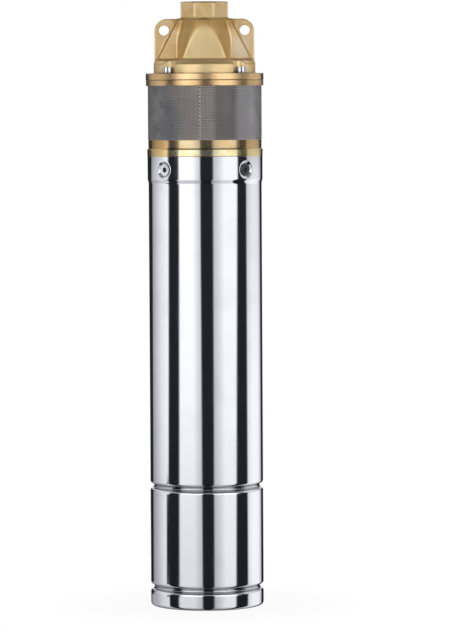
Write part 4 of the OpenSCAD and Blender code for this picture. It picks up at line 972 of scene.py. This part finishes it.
def perforated(s):
    """Points and faces of the strainer: a ring of quads round each hole, on both faces of the sheet. The
    rings share their outer points, which lie on a grid of four steps to one hole."""
    pitch = 2 * math.pi / s.columns
    steps = 4 * s.columns
    rise = (SHEET_TOP - SHEET_FOOT - 2 * s.margin) / s.rows
    first = SHEET_FOOT + s.margin + rise / 2
    quarter = np.array([(2, 0), (2, 1), (2, 2), (1, 2), (0, 2), (-1, 2), (-2, 2), (-2, 1)])
    border = np.concatenate([quarter, -quarter])
    spokes = np.arange(len(border)) * 2 * math.pi / len(border)
    row, column = [grid.ravel() for grid in np.mgrid[0:s.rows, 0:s.columns]]
    across = np.mod(4 * column[:, None] + 2 * (row[:, None] % 2) + border[None, :, 0], steps)
    up = 4 * row[:, None] + border[None, :, 1]
    keys, place = np.unique((up + 2) * steps + across, return_inverse=True)
    place = place.reshape(across.shape)
    border_angle = (keys % steps / 4 + s.phase) * pitch
    border_height = first + (keys // steps - 2) * rise / 4
    centre = (column + 0.5 * (row % 2) + s.phase) * pitch
    hole_angle = centre[:, None] + s.hole_radius * np.cos(spokes) / SHEET_RADIUS
    hole_height = first + row[:, None] * rise + s.hole_radius * np.sin(spokes)
    rim_angle = (np.arange(steps) / 4 + s.phase) * pitch
    rim_height = [np.full(steps, z) for z in (SHEET_FOOT, SHEET_TOP)]
    angle = np.concatenate([border_angle, hole_angle.ravel(), rim_angle, rim_angle])
    height = np.concatenate([border_height, hole_height.ravel(), *rim_height])
    hole = len(keys) + np.arange(hole_angle.size).reshape(hole_angle.shape)
    foot = len(keys) + hole.size + np.arange(steps)
    head = foot + steps
    low_border = np.searchsorted(keys, np.arange(steps))
    high_border = np.searchsorted(keys, 4 * s.rows * steps + np.arange(steps))
    pairs = [(place, hole), (foot, low_border), (high_border, head)]
    face = np.concatenate([band_faces(*pair) for pair in pairs])
    back = len(angle)
    edges = [band_faces(loop, loop + back) for loop in (hole, foot, head)]
    points = [around(angle, radius, height) for radius in (SHEET_RADIUS, SHEET_RADIUS - s.sheet)]
    return np.concatenate(points), np.concatenate([face, face[:, ::-1] + back, *edges])


def seam_ridge(s):
    """Points and faces of the overlap along the strainer's seam."""
    half = s.seam_width / 2 / SHEET_RADIUS
    columns = s.seam_place + half * np.array(SEAM_PLACES)
    rows = np.linspace(SHEET_FOOT, SHEET_TOP, s.seam_rows)
    angle, height = np.meshgrid(columns, rows, indexing="ij")
    front = around(angle, SHEET_RADIUS + s.seam_height * np.array(SEAM_CROWN)[:, None], height)
    back = around(angle, SHEET_RADIUS - s.sheet / 2, height)
    index = np.arange(angle.size).reshape(angle.shape)
    loop = np.concatenate([index[0, :-1], index[:-1, -1], index[-1, :0:-1], index[:0:-1, 0]])
    skin = grid_faces(angle.shape, closed=False)
    faces = np.concatenate([skin, skin[:, ::-1] + angle.size, band_faces(loop, loop + angle.size)])
    return np.concatenate([front, back]).reshape(-1, 3), faces


class PUMP_OT_strainer(Operator):
    """Perforated sheet round the suction, with its seam"""

    bl_idname = "pump.strainer"
    bl_label = "Strainer"

    def execute(self, context):
        s = context.scene.pump_strainer
        tones = context.scene.pump_colours
        inside = SHEET_RADIUS - s.sheet / 2
        seam_x = SHEET_RADIUS * math.sin(s.seam_place)
        # A heat tint by the seam, then stripes of painted shade and painted highlight; the inner face is
        # painted dark as shade.
        stripes = [(seam_x, s.heat_reach, tones.sheet_heat, 0.75)]
        stripes += [(x, half, getattr(tones, tint), cover) for x, half, tint, cover in SHEET_STRIPES]
        tints = (tones.sheet_warm, tones.sheet_cool)
        steel = sheet_metal(
            "strainer_steel", tones.sheet_light, tones.sheet_dark, roughness=0.48,
            shaded_within=inside, tints=tints, stripes=stripes,
        )
        spots = (seam_x - s.seam_width / 4, s.seam_width / 4, s.weld_pitch)
        # The seam's steel is painted lighter as a highlight.
        bright = sheet_metal("seam_highlight_steel", tones.seam_highlight, tones.sheet_light, roughness=0.40, welds=spots)
        sheet = new_piece("strainer_sheet", *perforated(s), steel, "strainer_steel", crease=30.0)
        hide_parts("strainer")
        seam = new_piece("strainer_seam", *seam_ridge(s), bright, "strainer_steel")
        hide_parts("strainer")
        return {"FINISHED"}


# Motor tube

# Plain wall kept beside a bend, and points up the slope under the band.
HOLD = 0.6 * MM
SLOPE_STEPS = 12
# Band screws, the width round a dimple with closer points, and the least angle between two columns.
BAND_SCREWS = 4
DIMPLE_MARGIN = 1.15
LEAST_TURN = 0.004


def groove(s, z, inset, steps=8):
    """Points along one rolled groove, from below to above; inset is 0 outside and the wall inside."""
    total = s.bend + s.root
    swing = math.degrees(math.acos(1 - s.groove_depth / total))
    half = total * math.sin(math.radians(swing))
    hinge = s.radius - s.bend
    floor = s.radius - s.groove_depth + s.root
    hold = half + HOLD
    below = [(s.radius - inset, z - hold)] + arc(hinge, z - half, s.bend - inset, 0, swing, steps)
    across = arc(floor, z, -(s.root + inset), swing, -swing, 2 * steps)[1:]
    above = arc(hinge, z + half, s.bend - inset, -swing, 0, steps)[1:] + [(s.radius - inset, z + hold)]
    return below + across + above


def tube_side(s, inset):
    """Points up one side of the tube wall, from the lip to the top edge."""
    lip = s.radius - s.foot_lip
    points = [(lip, inset)]
    points += arc(s.radius - s.foot_bend, s.foot_bend, s.foot_bend - inset, -90, 0, 10)
    points += groove(s, s.lower_groove, inset)
    points += groove(s, s.upper_groove, inset)
    band_foot = TUBE_TOP - s.band_height
    points += [(s.radius - inset, band_foot - s.slope_height - HOLD)]
    for step in range(SLOPE_STEPS + 1):
        rise = step / SLOPE_STEPS
        ease = rise * rise * (3 - 2 * rise)
        reach = s.radius - inset + (BAND_RADIUS - s.radius) * ease
        points.append((reach, band_foot - s.slope_height * (1 - rise)))
    points += [(BAND_RADIUS - inset, z) for z in np.linspace(band_foot, TUBE_TOP, s.band_rows)[1:]]
    return points


def tube_angles(s, screws):
    """Angles of the points round the tube, closer together across each dimple."""
    near = s.dimple_outer / BAND_RADIUS * DIMPLE_MARGIN
    angles = [np.linspace(0, 2 * math.pi, s.columns, endpoint=False)]
    angles += [np.linspace(a - near, a + near, s.dimple_columns) for a in screws]
    angles = np.unique(np.round(np.concatenate(angles), 5))
    return angles[np.append(np.diff(angles) > LEAST_TURN, True)]


class PUMP_OT_tube(Operator):
    """Polished motor tube: band, two rolled grooves, rolled foot and a dimple round each band screw"""

    bl_idname = "pump.tube"
    bl_label = "Motor tube"

    def execute(self, context):
        s = context.scene.pump_tube
        tones = context.scene.pump_colours
        loop = tube_side(s, 0.0) + tube_side(s, s.wall)[::-1]
        screws = s.screw_angle + np.arange(BAND_SCREWS) * 2 * math.pi / BAND_SCREWS
        middle = TUBE_TOP - s.screw_drop

        def dimple(angle, height):
            apart = np.min([np.hypot((angle - a) * BAND_RADIUS, height - middle) for a in screws], axis=0)
            fall = np.clip((s.dimple_outer - apart) / (s.dimple_outer - s.dimple_inner), 0, 1)
            under = np.clip((s.dimple_inner - apart) / (s.dimple_inner - s.hole_inner), 0, 1)
            return s.dimple_depth * fall * fall * (3 - 2 * fall) + s.hole_depth * under

        points, faces = lathe(loop, tube_angles(s, screws), dimple)
        # Painted shade in the rolled grooves and in the dimples round the screws.
        in_grooves = (s.radius - 0.2 * MM, 1.2 * MM, 2 * s.foot_bend, 0.45)
        in_dimples = (BAND_RADIUS - 0.1 * MM, s.dimple_depth, TUBE_TOP - s.band_height + 1 * MM, 0.5)
        recess_shade = [in_grooves, in_dimples]
        steel = polished_metal("tube_steel", tones.tube_light, tones.tube_dark, roughness=0.05, recess_shade=recess_shade)
        shell = new_piece("tube_shell", points, faces, steel, "tube_steel", crease=50.0)
        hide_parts("motor_tube")
        return {"FINISHED"}


# Imported pieces

# Painted shade on one side of a ring or screw, warm or cool: side, where it begins and ends from the axis,
# and the share of the dark colour left, for all channels or for each.
FLANGE_SHADED_SIDES = [(-1, 27 * MM, 34 * MM, (0.94, 0.84, 0.76)), (1, 27 * MM, 40 * MM, (1.0, 1.02, 1.05))]
FOOT_SHADED_SIDES = [(-1, 27 * MM, 34 * MM, (0.94, 0.86, 0.76)), (1, 27 * MM, 34 * MM, (1.0, 0.95, 0.95))]
SCREW_SHADED_SIDE = [(1, 20 * MM, 24 * MM, 0.55)]
# Share of the upper rim's colours left on the rim under it, which is painted darker as shade.
LOWER_RIM_SHADE = 0.86


class PUMP_OT_rings(Operator):
    """Turned brass of the suction lantern and the motor flange"""

    bl_idname = "pump.rings"
    bl_label = "Lantern and motor flange"

    def execute(self, context):
        tones = context.scene.pump_colours
        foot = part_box("suction_lantern")[0].z
        lathe_marks = {"pitch": 0.14 * MM, "strength": 0.012, "edge": 0.4 * MM}
        # Painted shade in lines where the flange meets the tube and the lantern.
        joints = [(TUBE_TOP, 0.6 * MM, 0.6), (foot, 0.5 * MM, 0.8)]
        brass = turned_metal(
            "ring_brass", tones.ring_light, tones.ring_dark, roughness=0.12, **lathe_marks,
            joints=joints, shaded_sides=FLANGE_SHADED_SIDES,
        )
        dress(brass, "motor_flange")
        middle = (SHEET_FOOT + SHEET_TOP) / 2
        # The lantern's rim takes a copy of the upper rim's colours, painted darker as shade.
        rim = [np.multiply(tone, LOWER_RIM_SHADE) for tone in (tones.rim_light, tones.rim_dark)]
        # Painted shade in lines where the lantern meets the flange and the head.
        joints = [(foot, 0.6 * MM, 0.9), (HEAD_FOOT, 0.4 * MM, 0.5)]
        brass = turned_metal(
            "lantern_brass", tones.foot_light, tones.foot_dark, roughness=0.13, **lathe_marks,
            above=(middle, *rim, 0.11), joints=joints, shaded_sides=FOOT_SHADED_SIDES,
        )
        dress(brass, "suction_lantern")
        return {"FINISHED"}


class PUMP_OT_fasteners(Operator):
    """Bright steel of the bolts and band screws"""

    bl_idname = "pump.fasteners"
    bl_label = "Fasteners"

    def execute(self, context):
        tones = context.scene.pump_colours
        look = {"roughness": 0.14, "pitch": 0.2 * MM, "strength": 0.02, "edge": 0.3 * MM}
        steel = turned_metal("bolt_steel", tones.bolt_light, tones.bolt_dark, **look)
        dress(steel, "head_bolts", "lantern_bolts", "snap_ring", "impeller_washer", "impeller_nut")
        steel = turned_metal("screw_steel", tones.bolt_light, tones.bolt_dark, **look, shaded_sides=SCREW_SHADED_SIDE)
        dress(steel, "band_screws")
        return {"FINISHED"}


class PUMP_OT_seals(Operator):
    """Rubber, carbon and ceramic of the seals, and the cable entry"""

    bl_idname = "pump.seals"
    bl_label = "Seals and cable entry"

    def execute(self, context):
        tones = context.scene.pump_colours
        rubber = moulded("rubber", tones.rubber, roughness=0.62, grain_scale=1800.0)
        dress(rubber, "head_oring", "flange_oring", "bracket_oring", "cover_oring", "seat_gasket")
        dress(rubber, "lip_seal", "cable_grommet", "cable_seal", "seal_bellows")
        dress(moulded("ceramic", tones.ceramic, roughness=0.22, grain_scale=900.0), "seal_seat")
        dress(moulded("carbon", tones.carbon, roughness=0.40, grain_scale=2400.0), "seal_carbon")
        spring = turned_metal(
            "spring_steel", tones.bolt_light, tones.bolt_dark, roughness=0.22, pitch=0.3 * MM, strength=0.06
        )
        dress(spring, "seal_spring", "spring_collar", "wave_washer")
        brass = turned_metal(
            "gland_brass", tones.ring_light, tones.ring_dark, roughness=0.24, pitch=0.2 * MM, strength=0.1
        )
        dress(brass, "cable_gland_nut")
        return {"FINISHED"}


class PUMP_OT_bearings(Operator):
    """Ground steel of the two ball bearings, and the bronze throat bush"""

    bl_idname = "pump.bearings"
    bl_label = "Bearings"

    def execute(self, context):
        tones = context.scene.pump_colours
        steel = turned_metal(
            "bearing_steel", tones.tube_light, tones.bolt_dark,
            roughness=0.10, pitch=0.12 * MM, strength=0.04,
        )
        dress(steel, "upper_bearing_outer", "upper_bearing_inner", "upper_balls")
        dress(steel, "lower_bearing_outer", "lower_bearing_inner", "lower_balls")
        bronze = turned_metal(
            "bronze", tones.cast_light, tones.copper, roughness=0.30, pitch=0.2 * MM, strength=0.1
        )
        dress(bronze, "throat_bush", "upper_ball_cage", "lower_ball_cage")
        return {"FINISHED"}


class PUMP_OT_rotor(Operator):
    """Shaft, rotor and impeller"""

    bl_idname = "pump.rotor"
    bl_label = "Rotor"

    def execute(self, context):
        tones = context.scene.pump_colours
        steel = turned_metal(
            "shaft_steel", tones.bolt_light, tones.bolt_dark, roughness=0.18, pitch=0.15 * MM, strength=0.06
        )
        dress(steel, "shaft", "impeller_key")
        dress(stacked_metal("rotor_sheets", tones.lamination, sheet_pitch=0.5 * MM), "rotor_core")
        cast = cast_metal(
            "cage_aluminium", tones.aluminium, tones.bolt_dark, tones.tube_light, roughness=0.42
        )
        dress(cast, "rotor_cage")
        brass = cast_metal(
            "impeller_brass", tones.ring_light, tones.cast_dark, tones.cast_worn_and_lit, roughness=0.30
        )
        dress(brass, "impeller")
        return {"FINISHED"}


class PUMP_OT_motor(Operator):
    """Stator, winding, capacitor, bracket and bottom cover"""

    bl_idname = "pump.motor"
    bl_label = "Motor"

    def execute(self, context):
        tones = context.scene.pump_colours
        dress(stacked_metal("stator_sheets", tones.lamination, sheet_pitch=0.5 * MM), "stator_core")
        dress(wound_wire("winding", tones.copper, wire=0.7 * MM), "stator_winding")
        plastic = moulded("moulding", tones.moulding, roughness=0.45, grain_scale=1300.0)
        dress(plastic, "thermal_protector", "capacitor_holder")
        can = sheet_metal("capacitor_can", tones.aluminium, tones.bolt_dark, roughness=0.34)
        dress(can, "run_capacitor")
        cast = cast_metal(
            "cast_aluminium", tones.aluminium, tones.bolt_dark, tones.tube_light, roughness=0.46
        )
        dress(cast, "lower_bracket", "bottom_cover")
        return {"FINISHED"}


# Studio

# Light round the pump: panels with dark gaps between, the camera in the middle gap. Each row is degrees to
# the right of the camera at a low and at a high mark, then the brightness at both.
LIGHT_RING = [
    (-180, -180, 1.1, 1.1), (-167, -167, 1.1, 1.1), (-164, -164, 0.02, 0.02), (-142.5, -136, 0.02, 0.02),
    (-138.5, -132, 0.42, 0.42), (-120, -120, 0.66, 0.68), (-106, -103, 0.95, 1.0), (-91, -85.5, 1.15, 1.2),
    (-87, -80.7, 1.15, 1.2), (-84, -76.7, 0.02, 0.02), (-60, -55.3, 0.02, 0.02), (-55, -51.3, 1.12, 1.42),
    (-26, -26, 1.12, 1.4), (-14, -14, 0.85, 0.9), (-11, -11, 0.82, 0.85), (-8, -8.5, 0.02, 0.02),
    (12.8, 14.5, 0.02, 0.02), (16.5, 18, 0.75, 0.72), (26, 26, 0.92, 0.9), (38, 38, 1.25, 1.25),
    (58.5, 64.8, 1.25, 1.25), (62.5, 68.8, 0.02, 0.02), (89.4, 89.6, 0.02, 0.02), (93.4, 93.6, 1.2, 0.8),
    (108, 108, 1.47, 1.02), (128, 128, 1.4, 1.0), (141, 141, 0.8, 0.6), (146, 146, 0.02, 0.02),
    (164, 164, 0.02, 0.02), (167, 167, 1.1, 1.1), (180, 180, 1.1, 1.1),
]
# Heights of the two marks in metres, and the points round the ring and up its side.
LIGHT_MARKS = (-0.25, 0.30)
RING_COLUMNS = 361
RING_ROWS = 33
# Steps in the edges of the gaps between two heights in metres, as (degrees, shift).
LIGHT_STEPS = [
    (0.43, 2.3, [(-90, 0), (-78, -4), (-54, -8), (-40, 0), (50, 0), (64, 9), (72, 9), (96, 0)]),
    (-0.268, -0.108, [(-105, 0), (-92, -5), (-80, -5), (-65, 0)]),
    (-0.9, -0.270, [
        (-165, 0), (-155, -14), (-140, -14), (-120, 0), (-100, 0), (-88, 5), (-70, -2), (-40, 0),
    ]),
]
# Share of that light at heights in metres, dimmer towards the floor.
LIGHT_RISE = [(-0.9, 0.75), (-0.28, 0.8), (-0.1, 0.88), (0.0, 0.97), (0.1, 0.98), (0.2, 0.98), (2.3, 1.0)]
# Share of the light from the sides at heights in metres, and the degrees between which the sides begin.
SIDE_RISE = [(0.325, 1.0), (0.36, 0.55), (0.39, 0.65), (0.43, 1.0)]
SIDE_START = (86, 96)
# Panels over the camera, which only the head and the rims show, and the light above them: (degrees,
# brightness), then the share of each pattern at heights in metres.
PANEL_RING = [
    (-180, 0.9), (-140, 0.5), (-110, 0.8), (-84, 0.8), (-80, 0.12), (-62, 0.12), (-46, 3.7), (-26, 3.7),
    (-9, 2.6), (-7, 0.05), (12, 0.05), (14, 2.4), (30, 3.7), (52, 3.7), (68, 0.12), (83, 0.12), (84, 0.85),
    (110, 0.85), (140, 0.5), (180, 0.9),
]
PANEL_RISE = [(0.52, 0.0), (0.545, 1.0), (1.0, 1.0), (1.1, 0.0)]
UPPER_RING = [(-180, 1.0), (-110, 0.9), (-80, 0.32), (80, 0.32), (110, 0.9), (180, 1.0)]
UPPER_RISE = [(1.0, 0.0), (1.1, 1.0)]
# Shares of the ring's radius at which the ground and the ceiling are lit, with the share of light there.
GROUND_REACH = [(0.0005, 0.2), (0.22, 0.45), (0.5, 0.8), (1.0, 1.0)]
CEILING_REACH = [(1.0, 1.0), (0.5, 0.5), (0.22, 0.3), (0.0005, 0.2)]
# Blue added to all of the ring's light, which shows in the dark gaps.
BLUE_LIFT = 0.006
# Share of plain white over the floor beside the pump, which lets a faint shadow through.
SHADOW_VEIL = 0.93


def curve(table, places):
    """Values of a table of (place, value) at other places, on straight lines between its rows."""
    return np.interp(places, *np.array(table).T)


def ring_light(degrees, heights):
    """Brightness of the ring of light at all degrees and heights."""
    low, high, dim, bright = np.array(LIGHT_RING).T
    columns = []
    for height, climb in zip(heights, np.interp(heights, LIGHT_MARKS, (0, 1))):
        shift = sum(curve(rows, degrees) for foot, head, rows in LIGHT_STEPS if foot <= height <= head)
        edges = low + (high - low) * climb
        columns.append(np.interp(degrees - shift, edges, dim + (bright - dim) * climb))
    level = np.stack(columns, axis=1) * curve(LIGHT_RISE, heights)
    sides = np.interp(np.abs(degrees), SIDE_START, (0, 1))[:, None]
    level = level * (1 - sides * (1 - curve(SIDE_RISE, heights)))
    for pattern, rise in ((UPPER_RING, UPPER_RISE), (PANEL_RING, PANEL_RISE)):
        over = curve(rise, heights)
        level = level * (1 - over) + curve(pattern, degrees)[:, None] * over
    return level


class PUMP_OT_stage(Operator):
    """Pale floor, ring of light panels, sky and camera"""

    bl_idname = "pump.stage"
    bl_label = "Stage"

    def execute(self, context):
        s = context.scene.pump_stage
        self.make_floor(context, s)
        self.make_ring(context, s)
        self.make_sky(context, s)
        self.make_camera(context, s)
        context.scene.view_settings.view_transform = "Standard"
        return {"FINISHED"}

    def make_floor(self, context, s):
        mesh = bpy.data.meshes.new("floor")
        shell = bmesh.new()
        bmesh.ops.create_circle(shell, cap_ends=True, segments=96, radius=s.floor_radius)
        shell.to_mesh(mesh)
        shell.free()
        material, sheet = finish_sheet("pale_floor")
        away = sheet.node("ShaderNodeVectorMath", {"operation": "LENGTH"}, {0: sheet.place()}, "Value")
        veil = SHADOW_VEIL + (1 - SHADOW_VEIL) * away.ramp(0.3 * s.floor_radius, 0.9 * s.floor_radius)
        paint = sheet.node("ShaderNodeBsdfDiffuse", {}, {"Color": (0.9, 0.9, 0.9, 1.0)})
        glow = sheet.node("ShaderNodeEmission", {}, {"Color": (1.0, 1.0, 1.0, 1.0)})
        both = sheet.node("ShaderNodeMixShader", {}, {0: sheet.seen() * veil, 1: paint, 2: glow})
        mirrored = sheet.node("ShaderNodeLightPath", {}, {}, "Is Glossy Ray")
        past = sheet.node("ShaderNodeBsdfTransparent", {}, {})
        shown = sheet.node("ShaderNodeMixShader", {}, {0: mirrored, 1: both, 2: past})
        sheet.node("ShaderNodeOutputMaterial", {}, {"Surface": shown})
        mesh.materials.append(material)
        floor = bpy.data.objects.new("floor", mesh)
        floor.location.z = -0.05 * MM
        context.scene.collection.objects.link(floor)

    def make_ring(self, context, s):
        degrees = np.linspace(-180, 180, RING_COLUMNS)
        marks = [row[0] for row in LIGHT_RISE + PANEL_RISE + SIDE_RISE]
        marks += [mark for row in LIGHT_STEPS for mark in row[:2]]
        heights = np.unique(np.concatenate([np.linspace(s.ring_foot, s.ring_top, RING_ROWS), marks]))
        level = ring_light(degrees, heights)
        bands = [(s.ring_radius * reach, heights[0]) for reach, lit in GROUND_REACH]
        bands += [(s.ring_radius, height) for height in heights]
        bands += [(s.ring_radius * reach, heights[-1]) for reach, lit in CEILING_REACH]
        ground = level[:, :1] * np.array([lit for reach, lit in GROUND_REACH]) * s.ground
        ceiling = level[:, -1:] * np.array([lit for reach, lit in CEILING_REACH]) * s.ceiling
        level = np.concatenate([ground, level, ceiling], axis=1)
        radius, height = np.array(bands).T
        points = around(np.radians(degrees)[:, None], radius[None, :], height[None, :])
        faces = grid_faces(level.shape, closed=False)
        self.light_sheet(context, "light_ring", points.reshape(-1, 3), faces, level.ravel())

    def light_sheet(self, context, name, points, faces, level):
        """A sheet that shines with the brightness given at its points, hidden from the camera."""
        mesh = bpy.data.meshes.new(name)
        mesh.from_pydata(points.tolist(), [], faces.tolist())
        glow = mesh.color_attributes.new("glow", "FLOAT_COLOR", "POINT")
        tones = np.stack([level, level, level + BLUE_LIFT, np.ones_like(level)], -1)
        glow.data.foreach_set("color", tones.ravel())
        material, sheet = finish_sheet(name)
        tone = sheet.node("ShaderNodeAttribute", {"attribute_name": "glow"}, {}, "Color")
        light = sheet.node("ShaderNodeEmission", {}, {"Color": tone})
        sheet.node("ShaderNodeOutputMaterial", {}, {"Surface": light})
        mesh.materials.append(material)
        panel = bpy.data.objects.new(name, mesh)
        panel.visible_camera = False
        context.scene.collection.objects.link(panel)

    def make_sky(self, context, s):
        world = bpy.data.worlds.new("studio")
        world.use_nodes = True
        sheet = Sheet(world.node_tree)
        white = (1.0, 1.0, 1.0, 1.0)
        lamp = sheet.node("ShaderNodeBackground", {}, {"Color": white, "Strength": s.sky})
        backdrop = sheet.node("ShaderNodeBackground", {}, {"Color": white, "Strength": 1.0})
        both = sheet.node("ShaderNodeMixShader", {}, {0: sheet.seen(), 1: lamp, 2: backdrop})
        sheet.node("ShaderNodeOutputWorld", {}, {"Surface": both})
        context.scene.world = world

    def make_camera(self, context, s):
        lens = bpy.data.cameras.new("camera")
        lens.sensor_fit = "VERTICAL"
        lens.lens = s.focal_pixels / PHOTO_HEIGHT * lens.sensor_height
        camera = bpy.data.objects.new("camera", lens)
        place = Matrix.Translation((s.aside, -s.distance, s.height))
        look = Matrix.Rotation(math.pi / 2 - s.tilt, 4, "X")
        camera.matrix_world = place @ look @ Matrix.Rotation(s.roll, 4, "Z")
        context.scene.collection.objects.link(camera)
        context.scene.camera = camera


class PUMP_PT_panel(Panel):
    """Pieces of the pump in the sidebar"""

    bl_idname = "PUMP_PT_panel"
    bl_label = "Borehole pump"
    bl_space_type = "VIEW_3D"
    bl_region_type = "UI"
    bl_category = "Pump"

    def draw(self, context):
        column = self.layout.column()
        for operator in OPERATORS:
            column.operator(operator.bl_idname)
        for group in GROUPS:
            box = self.layout.box()
            settings = getattr(context.scene, group)
            for name in settings.__annotations__:
                box.prop(settings, name)


OPERATORS = [
    PUMP_OT_stage, PUMP_OT_head_casting, PUMP_OT_head_rim, PUMP_OT_outlet_thread, PUMP_OT_strainer,
    PUMP_OT_tube, PUMP_OT_rings, PUMP_OT_fasteners, PUMP_OT_seals, PUMP_OT_bearings, PUMP_OT_rotor,
    PUMP_OT_motor,
]
GROUPS = {
    "pump_head": PumpHeadSizes,
    "pump_thread": PumpThreadSizes,
    "pump_strainer": PumpStrainerSizes,
    "pump_tube": PumpTubeSizes,
    "pump_colours": PumpColours,
    "pump_stage": PumpStage,
}


def register():
    for kind in [*GROUPS.values(), *OPERATORS, PUMP_PT_panel]:
        bpy.utils.register_class(kind)
    for name, group in GROUPS.items():
        setattr(bpy.types.Scene, name, PointerProperty(type=group))


def unregister():
    for name in GROUPS:
        delattr(bpy.types.Scene, name)
    for kind in reversed([*GROUPS.values(), *OPERATORS, PUMP_PT_panel]):
        bpy.utils.unregister_class(kind)


def main():
    register()
    for operator in OPERATORS:
        group, name = operator.bl_idname.split(".")
        getattr(getattr(bpy.ops, group), name)()


if __name__ == "__main__":
    main()
